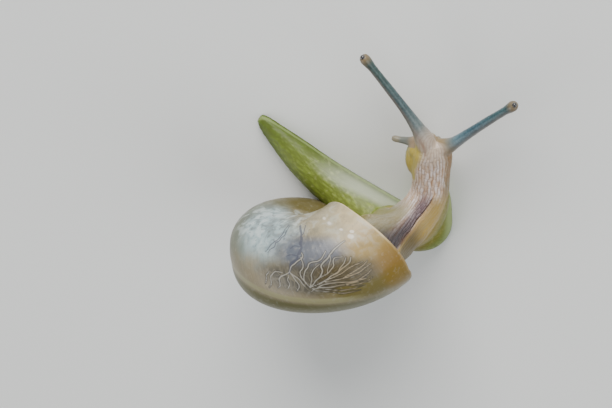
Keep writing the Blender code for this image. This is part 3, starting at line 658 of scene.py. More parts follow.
def tube(table, up, sides=28, rows=60):
    line = smooth_path(table, rows)
    _, side, top = frames(line[:, :3], up)
    wide, tall = line[:, 3], line[:, -1]
    turns = np.linspace(0, 2 * np.pi, sides, endpoint=False)
    return loft([c + np.outer(np.cos(turns) * a, u) + np.outer(np.sin(turns) * b, v)
                 for c, a, b, u, v in zip(line[:, :3], wide, tall, side, top)])


def foot_line(count):
    """The middle line of the foot on the floor, with its half widths and heights, and its sideways."""
    line = smooth_path([(x, y, 0.0, wide, tall) for x, y, wide, tall in FOOT], count)
    return line, frames(line[:, :3], FLOOR_UP)[1]


def foot_loft():
    """The foot: flat underneath, with an upright edge and a rounded back."""
    line, side = foot_line(110)
    turns = np.linspace(np.pi, 0, 25)
    rings = []
    for centre, across, wide, tall in zip(line[:, :3], side, line[:, 3], line[:, 4]):
        edge = min(MARGIN, tall * 0.5)
        out = np.concatenate([[-0.96], np.cos(turns), [0.96]]) * wide
        up = np.concatenate([[-SOLE_DEPTH], edge + (tall - edge) * np.sin(turns).clip(0) ** 0.9,
                             [-SOLE_DEPTH]])
        rings.append(centre + np.outer(out, across) + np.outer(up, FLOOR_UP))
    return loft(rings)


def shell_spot(turn, angle, inward=0.0):
    """The same point that the shell's node tree gives, for the mantle inside the mouth."""
    z = SHELL
    c, s = math.cos(math.radians(angle)), math.sin(math.radians(angle))
    power = 2.0 / (z["Shoulder Power"] if s > 0 else z["Base Power"])
    across = (z["Reach Out"] if c > 0 else z["Reach In"]) * math.copysign(abs(c) ** power, c)
    high = (z["Rise"] if s > 0 else z["Fall"]) * math.copysign(abs(s) ** power, s)
    keep = 1.0 - inward / math.hypot(across, high)
    degrees = turn - z["Suture Lag"] * (z["Suture Top"] - angle) / (z["Suture Top"] - z["Suture On"])
    scale = z["Expansion"] ** (degrees / 360.0)
    around = math.radians(z["Phase"] - degrees)
    radius = (z["Whorl Radius"] + across * keep) * scale
    height = (z["Level"] + high * keep) * scale ** z["Lift Power"]
    turn_matrix = Euler([math.radians(a) for a in SHELL_TURN]).to_matrix()
    return turn_matrix @ Vector((radius * math.cos(around), radius * math.sin(around), height)) \
        + Vector(SHELL_TIP)


def collar_loft():
    """The mantle that fills the mouth of the shell behind the lip."""
    z, rings = SHELL, []
    for step, share in COLLAR:
        turn = -COLLAR_STEP + COLLAR_STEP * step
        lip_side = np.linspace(z["Suture Top"] - 4, z["Umbilicus"], 60)
        old_side = np.linspace(z["Umbilicus"], z["Suture On"] + 3, 40)
        ring = [shell_spot(turn, a, LIP_WALL * 0.8) for a in lip_side]
        ring += [shell_spot(turn - 360.0 + z["Suture Lag"], a, -0.05) for a in old_side]
        ring = np.array(ring)
        hub = ring.mean(axis=0)
        rings.append(hub + (ring - hub) * share)
    return loft(rings)


def ball(centre, radii, ahead):
    shape = bmesh.new()
    bmesh.ops.create_icosphere(shape, subdivisions=4, radius=1.0)
    aim = Vector(ahead).to_track_quat("Z", "Y").to_matrix().to_4x4()
    shape.transform(Matrix.Translation(centre) @ aim @ Matrix.Diagonal((*radii, 1.0)))
    points, faces = [tuple(v.co) for v in shape.verts], [tuple(v.index for v in f.verts) for f in shape.faces]
    shape.free()
    return points, faces


def melted(parts, voxel, rounds):
    """Blend overlapping closed lofts into one mesh, in metres."""
    points, faces = [], []
    for part_points, part_faces in parts:
        first = len(points)
        points += part_points
        faces += [tuple(first + k for k in face) for face in part_faces]
    mesh = bpy.data.meshes.new("melt")
    mesh.from_pydata([Vector(p) * MM for p in points], [], faces)
    shape = bmesh.new()
    shape.from_mesh(mesh)
    bmesh.ops.recalc_face_normals(shape, faces=shape.faces)
    shape.to_mesh(mesh)
    shape.free()
    item = add_object("melt", mesh)
    step = item.modifiers.new("melt", "REMESH")
    step.mode = "VOXEL"
    step.voxel_size = voxel * MM
    relax = item.modifiers.new("relax", "SMOOTH")
    relax.factor = 0.5
    relax.iterations = rounds
    return finished_mesh(item)


def mesh_parts(mesh):
    return ([tuple(v.co / MM) for v in mesh.vertices], [tuple(p.vertices) for p in mesh.polygons])


def nearest_on(path, points):
    """Index of the nearest point of a path for each point, in slices to save memory."""
    found = np.empty(len(points), int)
    for first in range(0, len(points), 20000):
        part = points[first:first + 20000]
        gap = ((part[:, None, :] - path[None, :, :]) ** 2).sum(axis=2)
        found[first:first + 20000] = gap.argmin(axis=1)
    return found


def rise(value, low, high):
    share = np.clip((value - low) / (high - low), 0, 1)
    return share * share * (3 - 2 * share)


def place_on(table, points, up):
    """Distance along a path, degrees round it and the share of its radius, for each point."""
    line = smooth_path(table, PATH_STEPS)
    centre = line[:, :3]
    along, side, top = frames(centre, up)
    run = running_length(centre)
    k = nearest_on(centre, points)
    off = points - centre[k]
    a = (off * side[k]).sum(axis=1) / line[k, 3]
    b = (off * top[k]).sum(axis=1) / line[k, -1]
    return run[k] + (off * along[k]).sum(axis=1), np.degrees(np.arctan2(a, b)), np.hypot(a, b)


def line_gap(route, points):
    """Distance to a line, and how far along it the nearest place is, from 0 to 1."""
    line = smooth_path(route, LINE_STEPS)
    k = nearest_on(line, points)
    return np.linalg.norm(points - line[k], axis=1), k / (LINE_STEPS - 1)


def feeler_places(points):
    """How far out on a feeler and on a lower feeler, or -1, and how far round to its paler side."""
    found = {"feeler": np.full(len(points), -1.0), "lower": np.full(len(points), -1.0),
             "underside": np.zeros(len(points))}
    for name, table in FEELERS.items():
        line = smooth_path(table, FEELER_STEPS)
        low, high = line[:, :3].min(axis=0) - FEELER_NEAR, line[:, :3].max(axis=0) + FEELER_NEAR
        near = np.nonzero(((points > low) & (points < high)).all(axis=1))[0]
        k = nearest_on(line[:, :3], points[near])
        off = points[near] - line[k, :3]
        gap = np.linalg.norm(off, axis=1)
        close = gap < line[k, 3] * 1.25 + 0.06
        here, share = near[close], k[close] / (FEELER_STEPS - 1)
        for key in ("feeler", "lower") if name.startswith("lower") else ("feeler",):
            found[key][here] = np.maximum(found[key][here], share)
        found["underside"][here] = (off @ PALE_SIDE)[close] / gap[close].clip(1e-6)
    return found


def foot_places(points):
    """Distance along the foot and the share of its half width, both on the floor."""
    line, side = foot_line(PATH_STEPS)
    flat = points * (1, 1, 0)
    k = nearest_on(line[:, :3], flat)
    return running_length(line[:, :3])[k], ((flat - line[k, :3]) * side[k]).sum(axis=1) / line[k, 3]


def body_places(points):
    """Where each point of the skin lies, and how much of each kind of skin it has."""
    height = points[:, 2]
    row_along, row_round, _ = place_on(ROWS, points, TRUNK_UP)
    foot_along, foot_side = foot_places(points)
    on_feelers = feeler_places(points)
    feeler = on_feelers["feeler"]
    # trunk: 1 on the raised body and the feelers, 0 on the foot and where the body comes down to it
    reach = np.minimum.reduce([place_on(table, points, up)[2] + margin for table, up, margin in TRUNK])
    trunk = (1 - rise(reach, 1.2, 1.6)) * np.maximum(rise(height, 0.9, 2.3), rise(points[:, 1], 7.2, 8.2))
    trunk *= 1 - (1 - rise(foot_along, 12.5, 15.5)) * (1 - rise(height, 2.8, 4.2))
    trunk = np.where(feeler > -0.5, 1.0, trunk)

    # markings, found on the skin of the neck as if it were rolled out flat
    spread = np.stack([row_along, row_round * ROW_ARC], axis=1)
    crease, crease_along = line_gap([(a, b * ROW_ARC) for a, b in CREASE], spread)
    stain, stain_along = line_gap([(a, b * ROW_ARC) for a, b in STAIN], spread)
    crease_round = np.interp(row_along, *np.transpose(CREASE))
    stain = np.exp(-(stain / (1.15 - 0.55 * stain_along)) ** 3) * (1 - rise(stain_along, 0.58, 0.97))
    stain *= rise(row_round - crease_round, -5, 4)
    plain = rise(crease_round - row_round, -3, 7) * (1 - rise(row_along, 7.6, 9.4))
    pale = rise(row_round, 20, 45) * (1 - rise(row_along, 5.2, 7.4))
    mouth, mouth_along = line_gap(MOUTH_SIDE, points)
    mouth = 1 - rise(mouth / (1.15 - 0.55 * mouth_along), 0.70, 1.30)
    cheek, cheek_along = line_gap(CHEEK, points)
    # rows of tubercles, fainter on the smooth skin, the mouth, the pale side and the forehead
    rows = trunk * (1 - 0.62 * plain) * (1 - 0.85 * mouth) * (1 - rise(feeler, 0.02, 0.12))
    rows *= (1 - 0.8 * pale) * (1 - 0.7 * rise(row_along, 12.9, 14.0))
    return {"height": height, "foot_along": foot_along, "foot_side": foot_side, "trunk": trunk,
            "rows": rows, "plain": plain, "row_along": row_along, "row_round": row_round, "pale": pale,
            "crease": crease + 0.5 * rise(crease_along, 0.80, 1.0), "stain": stain,
            "stain_along": stain_along, "mouth": mouth, "cheek": cheek + 0.3 * rise(cheek_along, 0.75, 1.0),
            **on_feelers}


def rows_group(kind):
    """Rows of long tubercles: a groove between two rows, and a shallower one between two tubercles."""
    graph, given = new_group(
        "Tubercle Rows", kind, {"Round": 0.0, "Along": 0.0, "Waver": 0.0, "Row Width": ROW_WIDTH,
                                "Bead Length": BEAD_LENGTH}, {"Bead": "NodeSocketFloat"})
    across = given["Round"] / given["Row Width"] + given["Waver"]
    row = graph.math("FLOOR", across)
    groove = (across - row - 0.5).size()
    down = given["Along"] / given["Bead Length"] + row * 0.618 + given["Waver"] * 0.7
    gap = (down - graph.math("FLOOR", down) - 0.5).size()
    return graph.give(Bead=graph.ramp(groove, 0.5, 0.22) * graph.ramp(gap, 0.34, 0.5, 1.0, 0.45))


def skin_tree():
    """Rows of tubercles on the neck, a net of grooves on the foot and a fringe round the sole."""
    graph, given = new_group(
        "Snail Skin", "GeometryNodeTree",
        {"Geometry": "NodeSocketGeometry", "Row Width": ROW_WIDTH, "Bead Length": BEAD_LENGTH,
         "Bead Height": BEAD_HEIGHT, "Net Size": NET_SIZE, "Net Height": NET_HEIGHT,
         "Fringe Pitch": FRINGE_PITCH, "Material": "NodeSocketMaterial"},
        {"Geometry": "NodeSocketGeometry"})
    spot = graph.stretch(graph.out("GeometryNodeInputPosition", 0), (1 / MM,) * 3)
    waver = (graph.noise(spot, 0.8, 1.0) - 0.5) * 2.0
    bead = graph.group(rows_group("GeometryNodeTree"), {
        "Round": graph.stored("row_round"), "Along": graph.stored("row_along"), "Waver": waver,
        "Row Width": given["Row Width"], "Bead Length": given["Bead Length"]})
    rows = graph.stored("rows")
    net = graph.ramp(graph.cell_edges(spot, 1.0 / given["Net Size"]), 0.0, 0.3)
    height = graph.stored("height")
    fringe = graph.stored("foot_along") / given["Fringe Pitch"]
    fringe = (fringe - graph.math("FLOOR", fringe) - 0.5).size()
    margin = graph.ramp(height, 0.05, 0.15) * graph.ramp(height, 0.60, 0.40)
    off_rows = (1.0 - rows) * (1.0 - graph.stored("plain")) * (1.0 - graph.stored("mouth"))
    off_rows = off_rows * graph.ramp(graph.stored("feeler"), 0.0, 0.1, 1.0, 0.25)
    lift = bead * rows * given["Bead Height"]
    lift = lift + net * off_rows * given["Net Height"] * graph.ramp(height, 0.05, 0.3)
    lift = lift - graph.ramp(fringe, 0.3, 0.5) * margin * 0.04
    normal = graph.out("GeometryNodeInputNormal", 0)
    offset = graph.out("ShaderNodeVectorMath", 0, {0: normal, "Scale": lift * MM}, operation="SCALE")
    shape = graph.store(given["Geometry"], "net", net)
    shape = graph.out("GeometryNodeSetPosition", 0, {"Geometry": shape, "Offset": offset})
    return finish_tree(graph, shape, given["Material"])


def vertex_array(mesh, name="co"):
    values = np.empty(len(mesh.vertices) * 3)
    source = mesh.vertices if name == "co" else mesh.vertex_normals
    source.foreach_get(name, values)
    return values.reshape(-1, 3)


def vertex_values(mesh, name):
    values = np.empty(len(mesh.vertices))
    mesh.attributes[name].data.foreach_get("value", values)
    return values


def softened(points, mesh, weight, rounds):
    """Points drawn towards the middle of their neighbours, by a weight for each."""
    ends = np.empty(len(mesh.edges) * 2, np.int32)
    mesh.edges.foreach_get("vertices", ends)
    a, b = ends[0::2], ends[1::2]
    count = np.bincount(ends, minlength=len(points))[:, None]
    size = len(points)
    for _ in range(rounds):
        total = np.stack([np.bincount(a, points[b, k], size) + np.bincount(b, points[a, k], size)
                          for k in range(3)], axis=1)
        points = points + (total / count - points) * (0.6 * weight)[:, None]
    return points


def thinned(mesh, faces_left):
    """Fewer faces where the skin is plain; the neck, the head and the feelers keep all of theirs."""
    points = vertex_array(mesh) / MM
    _, _, reach = place_on(NECK, points, TRUNK_UP)
    _, around, _ = place_on(ROWS, points, TRUNK_UP)
    fine = (reach < 1.5) & (points[:, 1] > 4.0) & (points[:, 2] > 2.6) & (abs(around) < 125)
    fine |= feeler_places(points)["feeler"] > 0
    item = add_object("thin", mesh)
    item.vertex_groups.new(name="coarse").add(np.nonzero(~fine)[0].tolist(), 1.0, "REPLACE")
    step = item.modifiers.new("thin", "DECIMATE")
    mesh.calc_loop_triangles()
    step.ratio = min(1.0, faces_left / len(mesh.loop_triangles))
    step.vertex_group = "coarse"
    return finished_mesh(item)


def build_skin(look):
    """Foot, trunk, head and feelers melted into one skin, which then gets its crease and relief."""
    body = [foot_loft(), collar_loft()] + [tube(table, up) for table, up, _ in TRUNK]
    body += [ball(*lobe, HEAD_AHEAD) for lobe in (MOUTH_LOBE, LIP_LOBE, LIP_SIDE)]
    body += [tube(table[:3], FEELER_UP, 20, 20) for table in FEELERS.values()]
    base = melted(body, MELT_VOXEL, MELT_ROUNDS)
    points = vertex_array(base) / MM
    bend = np.exp(-(np.linalg.norm(points - INNER_BEND, axis=1) / BEND_REACH) ** 4)
    base.vertices.foreach_set("co", (softened(points, base, bend, BEND_ROUNDS) * MM).ravel())
    parts = [mesh_parts(base)]
    parts += [tube(table, FEELER_UP, 24, 60) for table in FEELERS.values()]
    mesh = thinned(melted(parts, SKIN_VOXEL, SKIN_ROUNDS), SKIN_FACES)
    points = vertex_array(mesh) / MM
    normals = vertex_array(mesh, "vector")
    places = body_places(points)
    groove = CREASE_DEPTH * np.exp(-(places["crease"] / CREASE_WIDTH) ** 2)
    swelling = 0.05 * np.exp(-((places["crease"] - 0.35) / 0.30) ** 2) * rise(places["row_along"], 4.0, 5.5)
    points += normals * ((swelling - groove) * places["trunk"])[:, None]
    points[:, 2] = points[:, 2].clip(0.0)
    mesh.vertices.foreach_set("co", (points * MM).ravel())
    for name, values in places.items():
        mesh.attributes.new(name, "FLOAT", "POINT").data.foreach_set("value", values.astype(np.float32))
    return grown_mesh("skin", mesh, skin_tree(), {"Material": look})


# ---------------------------------------------------------------- eyes
def build_eye(name, look):
    """A round dark eye in the tip of a feeler."""
    low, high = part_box(name)
    shape = bmesh.new()
    bmesh.ops.create_uvsphere(shape, u_segments=32, v_segments=20, radius=EYE_RADIUS * MM)
    shape.transform(Matrix.Translation((low + high) / 2))
    made = solid_object(name + "_ball", shape, look)
    made.data.shade_smooth()
    return made


# ---------------------------------------------------------------- materials
def new_material(name, **sockets):
    made = bpy.data.materials.new(name)
    made.use_nodes = True
    graph = Graph(made.node_tree)
    shader = made.node_tree.nodes["Principled BSDF"]
    for key, value in sockets.items():
        shader.inputs[key.replace("_", " ")].default_value = value
    return made, graph, shader


def soft_patch_group():
    """An oval patch with a wandering soft edge, on two coordinates."""
    graph, given = new_group(
        "Soft Patch", "ShaderNodeTree",
        {"Along": 0.0, "Across": 0.0, "Along Middle": 0.0, "Across Middle": 0.0, "Along Reach": 10.0,
         "Across Reach": 10.0, "Wander": 0.0}, {"Mask": "NodeSocketFloat"})
    a = (given["Along"] - given["Along Middle"]) / given["Along Reach"]
    b = (given["Across"] - given["Across Middle"]) / given["Across Reach"]
    apart = graph.math("SQRT", a * a + b * b) + given["Wander"]
    return graph.give(Mask=graph.ramp(apart, 1.15, 0.45))


def fine_vein_group():
    """Fine wavering lines that run out from the root of the lung veins, and a net of them beyond it."""
    graph, given = new_group(
        "Fine Veins", "ShaderNodeTree",
        {"Turn": 0.0, "Angle": 0.0, "Root Turn": ROOT[0], "Root Angle": ROOT[1], "Lines": 11.0,
         "Net Size": 0.55, "Waver": 0.0}, {"Fan": "NodeSocketFloat", "Net": "NodeSocketFloat"})
    x = (given["Turn"] - given["Root Turn"]) * TURN_ARC
    y = (given["Angle"] - given["Root Angle"]) * SECTION_ARC
    ray = graph.math("ARCTAN2", y, x)
    reach = graph.math("SQRT", x * x + y * y)
    lines = graph.noise(graph.vector(ray * given["Lines"], reach * 0.55, given["Waver"]), 1.0, 1.0, 0.3)
    spot = graph.vector(x / given["Net Size"] + given["Waver"] * 2.0, y / given["Net Size"] * 0.6, 0.0)
    net = graph.cell_edges(spot, 1.0, 0.9)
    return graph.give(Fan=graph.ramp((lines - 0.5).size(), 0.055, 0.0), Net=graph.ramp(net, 0.11, 0.0))


def lung_veins(graph, area, turn, angle, cloud, colour):
    """Pale veins with painted shade along their edges, the dark vessels, and the finest veins between them.
    """
    vein, vessel = graph.stored("vein"), graph.stored("vessel")
    small = fine_vein_group()
    where = {"Turn": turn, "Angle": angle, "Waver": cloud}
    fan = graph.group(small, where, "Fan") * area((-34.0, -19.0), (26.0, 26.0), 0.4)
    net = graph.group(small, where, "Net") * area((-66.0, -10.0), (26.0, 20.0), 0.4)
    colour = graph.coats(
        colour,
        # painted shade beside each vein, as if it stood up in relief, which also darkens the ground between
        # the veins
        (graph.ramp(vein, 2.4, 0.9), 0.70, (0.034, 0.029, 0.021)),
        (fan, 0.30, (0.17, 0.140, 0.080)),
        (net, 0.60, (0.17, 0.150, 0.105)),
        (graph.ramp(vessel, 1.7, 0.5), 0.80, (0.058, 0.062, 0.085)))
    warm = graph.ramp(turn, -48.0, -28.0) * graph.ramp(angle, -36.0, -24.0)
    vein_shade = graph.blend(warm, (0.30, 0.285, 0.245), (0.29, 0.225, 0.130))
    dent = graph.ramp(vessel, 1.5, 0.3) * 0.3
    return graph.mix(graph.ramp(vein, 0.95, 0.25) * 0.88, colour, vein_shade), dent


def shell_look():
    """Glossy, mottled cream and amber with the lung showing through, a green-brown underside, and a painted
    reflection and highlights.
    """
    made, graph, shader = new_material("glossy_shell", Specular_IOR_Level=0.32, Coat_Weight=0.12,
                                       Coat_Roughness=0.16)
    patch = soft_patch_group()
    fine = graph.millimetres()
    turn, angle = graph.stored("turn"), graph.stored("angle")
    cloud = graph.noise(fine, 0.45, 3.0) - 0.5
    blotch = graph.noise(fine, 1.1, 3.0, 0.6)
    speck = graph.noise(fine, 2.6, 3.0)

    def area(middle, reach, wander=0.8):
        return graph.group(patch, {"Along": turn, "Across": angle, "Along Middle": middle[0],
                                   "Across Middle": middle[1], "Along Reach": reach[0],
                                   "Across Reach": reach[1], "Wander": cloud * wander})

    def patches(table):
        return [(area(*place), amount, shade) for *place, amount, shade in table]

    lines = graph.noise(graph.vector(turn * 1.1, angle * 0.015, 0.0), 1.0, 4.0)
    streak = graph.noise(graph.vector(turn * 0.05, angle * 0.45, 0.0), 1.0, 3.0)
    # upper part of the last whorl, where a pale bluish painted reflection lies in blotches
    reflection_zone = graph.ramp(angle, -20.0, -55.0) * graph.ramp(turn, -30.0, -60.0, 0.35, 1.0)
    reflection_zone = reflection_zone * graph.ramp(turn, -185.0, -125.0, 0.25, 1.0)
    band = graph.ramp((angle - 12.5).size(), 7.0, 3.0) * graph.ramp(turn, -135.0, -100.0)
    band = band * graph.ramp(turn, -22.0, -42.0)
    under = graph.ramp(angle, 15.0, 25.0) * graph.ramp(turn, -900.0, -90.0, 0.35, 1.0)
    under = under * graph.ramp(turn, -6.0, -26.0, 0.25, 1.0)
    # small painted highlights near the lip
    glints = [((back, across), (size, size * 1.4), 4.0, 0.55, (0.75, 0.72, 0.66))
              for back, across, size in GLINTS]
    colour = graph.coats(
        graph.blend(graph.ramp(lines, 0.3, 0.7), (0.21, 0.175, 0.10), (0.27, 0.225, 0.14)),
        # the shell's ground colours, the first of them a pale bluish painted reflection
        *patches(GROUND_AND_REFLECTION_PATCHES),
        # whitish blue blotches of painted reflection, then darker blotches and specks in the same place
        (graph.ramp(blotch, 0.48, 0.62) * reflection_zone, 0.6, (0.50, 0.56, 0.56)),
        (graph.ramp(blotch, 0.50, 0.34) * reflection_zone, 0.5, (0.075, 0.085, 0.085)),
        (graph.ramp(speck, 0.44, 0.34) * reflection_zone, 0.5, (0.07, 0.08, 0.08)),
        *patches(LUNG_PATCHES),
        (band, 0.85, (0.30, 0.28, 0.14)),
        (under, 0.85, (0.070, 0.070, 0.012)),
        (graph.ramp(streak, 0.5, 0.7) * graph.ramp(angle, 5.0, 15.0), 0.4, (0.14, 0.12, 0.05)),
        (graph.ramp(speck, 0.52, 0.74), 0.18, (0.42, 0.40, 0.34)),
        *patches(glints))
    colour, dent = lung_veins(graph, area, turn, angle, cloud, colour)
    lip = graph.ramp(turn, -0.6, 0.4) * graph.ramp(angle, -28.0, -55.0, 0.15, 1.0)
    graph.wire(shader, {"Base Color": graph.coats(colour, (lip, 0.85, (0.62, 0.50, 0.30))),
                        "Normal": graph.bump(lines * 0.6 - dent, 0.3),
                        "Roughness": 0.32 + speck * 0.14})
    return made


def foot_colour(graph, at, speck, cloud):
    """Green tail and front lobe with a net of grooves, a pale far side and a light margin."""
    height, along, across, grooves = at["height"], at["foot_along"], at["foot_side"], 1.0 - at["net"]
    tail = graph.coats(
        graph.blend(graph.ramp(height, 0.3, 2.6), (0.06, 0.10, 0.003), (0.19, 0.25, 0.03)),
        (graph.ramp(height, 2.1, 3.4), 0.5, (0.31, 0.34, 0.10)),
        (graph.ramp(speck, 0.54, 0.70) * graph.ramp(along, 3.0, 8.0), 0.40, (0.40, 0.43, 0.17)),
        (grooves, 0.5, (0.055, 0.065, 0.003)))
    lobe = graph.coats(
        graph.blend(cloud, (0.095, 0.100, 0.001), (0.20, 0.20, 0.008)),
        (grooves, 0.3, (0.07, 0.07, 0.002)))
    far_side = graph.ramp(across, 0.35, 0.62) * graph.ramp(along, 5.0, 11.0)
    far_side = far_side * graph.ramp(along, 20.5, 15.5, 0.25, 1.0) * graph.ramp(height, 2.4, 1.65)
    rim = graph.ramp(across.size(), 0.78, 0.99) * graph.ramp(along, 16.5, 18.5)
    return graph.coats(
        graph.mix(graph.ramp(along, 17.0, 19.5), tail, lobe),
        (far_side * graph.ramp(height, 0.5, 1.3, 0.45, 1.0), 0.70, (0.43, 0.46, 0.37)),
        (graph.ramp((height - 0.42).size(), 0.22, 0.05), 0.4, (0.33, 0.42, 0.16)),
        (rim, 0.5, (0.36, 0.46, 0.19)))


def neck_colour(graph, at, bead, grain, shaded):
    """Pale tubercles between pinkish grooves, smooth beige skin beyond the crease, painted shade on the right
    side, a yellower low side.
    """
    along, around = at["row_along"], at["row_round"]
    smooth_skin = graph.coats(
        graph.blend(graph.ramp(at["height"], 2.2, 3.8), (0.15, 0.15, 0.001), (0.385, 0.250, 0.050)),
        (graph.ramp(grain, 0.45, 0.7), 0.3, (0.44, 0.34, 0.14)))
    streak = graph.noise(graph.vector(around * 0.11, along * 0.8, 0.0), 1.0, 2.0)
    # tubercles paler in streaks along their rows: partly their own colour, partly painted highlight
    bead_tone_and_highlight = graph.blend(graph.ramp(streak, 0.36, 0.66), (0.57, 0.40, 0.28), (0.78, 0.69, 0.66))
    groove_shade = graph.blend(graph.ramp(streak, 0.3, 0.6), (0.37, 0.215, 0.125), (0.46, 0.335, 0.265))
    top = graph.blend(bead, (0.32, 0.24, 0.18), (0.38, 0.305, 0.23))
    fold = graph.ramp(around, -40.0, -58.0) * graph.ramp(along, 9.6, 10.6) * graph.ramp(along, 14.2, 13.2)
    low_side = graph.ramp(around, 90.0, 125.0) * graph.ramp(along, 5.7, 4.9)
    neck = graph.coats(
        graph.mix(graph.ramp(along, 11.8, 13.6) * 0.9, graph.mix(bead, groove_shade, bead_tone_and_highlight), top),
        # painted shade down the right side of the neck
        (graph.ramp(around, -31.0, -54.0), 0.8, (0.15, 0.100, 0.022)),
        (fold, 0.6, (0.27, 0.135, 0.045)))
    return graph.coats(
        graph.mix(at["plain"], neck, smooth_skin),
        (shaded, 0.92, (0.078, 0.050, 0.001)),
        (at["pale"], 0.85, (0.165, 0.158, 0.080)),
        (low_side, 0.8, (0.185, 0.165, 0.030)))


def with_markings(graph, at, colour, fine_bead):
    """The purple stain of the neck, the crease beside it, the mouth and the fold of the cheek."""
    along, crease = at["row_along"], at["crease"]
    dark = graph.mix(graph.ramp(at["stain_along"], 0.15, 0.80),
                     graph.blend(fine_bead, (0.002, 0.0015, 0.003), (0.018, 0.013, 0.022)),
                     graph.blend(fine_bead, (0.060, 0.034, 0.042), (0.17, 0.105, 0.120)))
    beside = graph.ramp(crease, 0.9, 0.0) * at["plain"] * graph.ramp(along, 3.2, 5.0)
    crease_width = 0.15 + graph.ramp(along, 5.2, 3.2) * 0.22
    crease_depth = graph.ramp(along, 9.2, 5.6, 0.35, 1.0)
    return graph.coats(
        graph.mix(at["stain"] * at["trunk"] * 0.95, colour, dark),
        (beside, 0.45, (0.25, 0.155, 0.110)),
        (graph.ramp(crease / crease_width, 1.0, 0.2) * crease_depth, 0.9, (0.075, 0.034, 0.020)),
        (at["mouth"], 0.85, (0.50, 0.385, 0.030)),
        (graph.ramp(at["cheek"], 0.20, 0.04), 0.5, (0.20, 0.095, 0.050)))


def with_feelers(graph, at, colour, grain):
    """Blue-grey upper feelers with a brown underside and tip, and paler lower ones."""
    feeler, lower = at["feeler"], at["lower"]
    base = graph.blend(graph.ramp(grain, 0.3, 0.7), (0.070, 0.100, 0.100), (0.115, 0.145, 0.145))
    shaft = graph.blend(graph.ramp(grain, 0.35, 0.7), (0.026, 0.046, 0.050), (0.052, 0.088, 0.094))
    upper = graph.mix(graph.ramp(feeler, 0.22, 0.45), base, shaft)
    upper = graph.mix(graph.ramp(feeler, 0.45, 0.85), upper, (0.72, 0.86, 0.74, 1), "MULTIPLY")
    below = graph.ramp(at["underside"], 0.45, 0.95) * graph.ramp(feeler, 0.05, 0.2)
    upper = graph.coats(upper, (below, 0.60, (0.25, 0.155, 0.115)))
    right = graph.ramp(at["row_round"], 0.0, -20.0) * 0.8
    upper = graph.mix(right, upper, (0.80, 1.24, 1.58, 1), "MULTIPLY")
    colour = graph.mix(graph.ramp(feeler, 0.06, 0.26), colour, upper)
    shade = graph.blend(graph.ramp(lower, 0.66, 0.84), (0.13, 0.140, 0.120), (0.21, 0.185, 0.125))
    shade = graph.coats(shade, (graph.ramp(lower, 0.54, 0.26), 1.0, (0.34, 0.25, 0.155)))
    on_lower = lower.above(0.0)
    colour = graph.mix(on_lower * graph.ramp(lower, 0.04, 0.25), colour, shade)
    tip = graph.ramp(feeler, 0.90, 0.98) * (1.0 - on_lower)
    return graph.coats(colour, (tip, 0.7, (0.19, 0.125, 0.055)))


def skin_look():
    """Moist skin: foot, neck, markings and feelers, each by what the mesh says of the place."""
    made, graph, shader = new_material("moist_skin", Coat_Roughness=0.14, Specular_IOR_Level=0.40)
    fine = graph.millimetres()
    at = {name: graph.stored(name) for name in SKIN_MAPS}
    trunk = at["trunk"]
    row_pattern = rows_group("ShaderNodeTree")
    waver = (graph.noise(fine, 0.8, 1.0) - 0.5) * 2.0
    course = {"Round": at["row_round"], "Along": at["row_along"]}
    bead = graph.group(row_pattern, {**course, "Waver": waver})
    fine_bead = graph.group(row_pattern, {**course, "Waver": waver * 1.5, "Row Width": ROW_WIDTH * 0.62})
    grain = graph.noise(fine, 5.0, 3.0)
    speck = graph.noise(fine, 2.4, 2.0)
    cloud = graph.noise(fine, 0.5, 2.0)
    shaded = graph.ramp(at["row_along"], 6.4, 4.2) * graph.ramp(at["row_round"], -4.0, -30.0)
    colour = graph.mix(trunk, foot_colour(graph, at, speck, cloud),
                       neck_colour(graph, at, bead, grain, shaded))
    colour = with_markings(graph, at, colour, fine_bead)
    graph.wire(shader, {"Base Color": with_feelers(graph, at, colour, grain),
                        "Normal": graph.bump(bead * at["rows"] * 0.8 + grain * 0.5, 0.5),
                        "Roughness": 0.48 + cloud * 0.2 - trunk * 0.14,
                        "Coat Weight": (0.06 + trunk * (0.22 - at["stain"] * 0.18)
                                        * (1.0 - shaded * 0.8))})
    return made


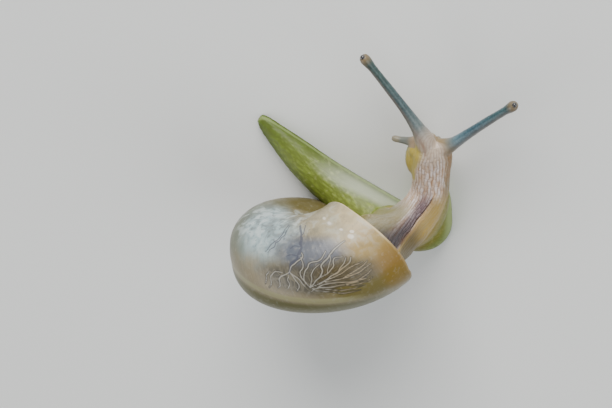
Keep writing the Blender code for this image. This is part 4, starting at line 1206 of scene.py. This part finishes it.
def eye_look():
    made, graph, shader = new_material("dark_eye", Roughness=0.08, Coat_Weight=1.0, Coat_Roughness=0.03)
    speck = graph.noise(graph.millimetres(), 6.0, 2.0)
    graph.wire(shader, {"Base Color": graph.blend(speck, (0.004, 0.004, 0.006), (0.02, 0.018, 0.02))})
    return made


# ---------------------------------------------------------------- stage
def build_floor():
    shape = bmesh.new()
    bmesh.ops.create_circle(shape, cap_ends=True, segments=96, radius=FLOOR_RADIUS)
    shape.transform(Matrix.Translation((0, 0, -FLOOR_GAP)))
    look, _, _ = new_material("pale_floor", Roughness=0.7, Base_Color=(0.72, 0.73, 0.72, 1))
    solid_object("floor", shape, look)


def light_stage():
    middle = (CAD_BOX[0] + CAD_BOX[1]) / 2
    for name, (direction, size, watts, colour) in LAMPS.items():
        data = bpy.data.lights.new(name, "AREA")
        data.shape, data.size, data.energy, data.color = "DISK", size, watts, colour
        lamp = add_object(name, data)
        lamp.location = middle + Vector(direction) * LAMP_DISTANCE
        lamp.rotation_euler = (middle - lamp.location).to_track_quat("-Z", "Y").to_euler()
    world = bpy.data.worlds.new("studio")
    world.use_nodes = True
    sky = world.node_tree.nodes["Background"].inputs
    sky["Color"].default_value = (0.82, 0.86, 0.88, 1)
    sky["Strength"].default_value = 0.28
    bpy.context.scene.world = world


def place_camera():
    data = bpy.data.cameras.new("camera")
    data.lens = CAMERA_LENS
    data.clip_start, data.clip_end = 0.01, 10.0
    made = add_object("camera", data)
    turn = Matrix((CAMERA_RIGHT, CAMERA_UP, CAMERA_BACK)).transposed().to_4x4()
    made.matrix_world = Matrix.Translation(Vector(CAMERA_AT) * MM) @ turn
    bpy.context.scene.camera = made


shell = build_shell(shell_look())
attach(shell, "root")
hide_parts("shell_spire", "shell_last_whorl", "shell_lip")

skin = build_skin(skin_look())
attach(skin, "root")
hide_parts("mantle_collar", "stalk", "neck_base", "neck", "head", "foot_front", "foot_middle",
            "foot_rear", "tail", "tail_tip", "upper_feeler_left", "upper_feeler_right",
            "lower_feeler_left", "lower_feeler_right")

dark_eye = eye_look()
for side in ("eye_left", "eye_right"):
    eye = build_eye(side, dark_eye)
    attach(eye, "root")
    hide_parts(side)

build_floor()
light_stage()
place_camera()
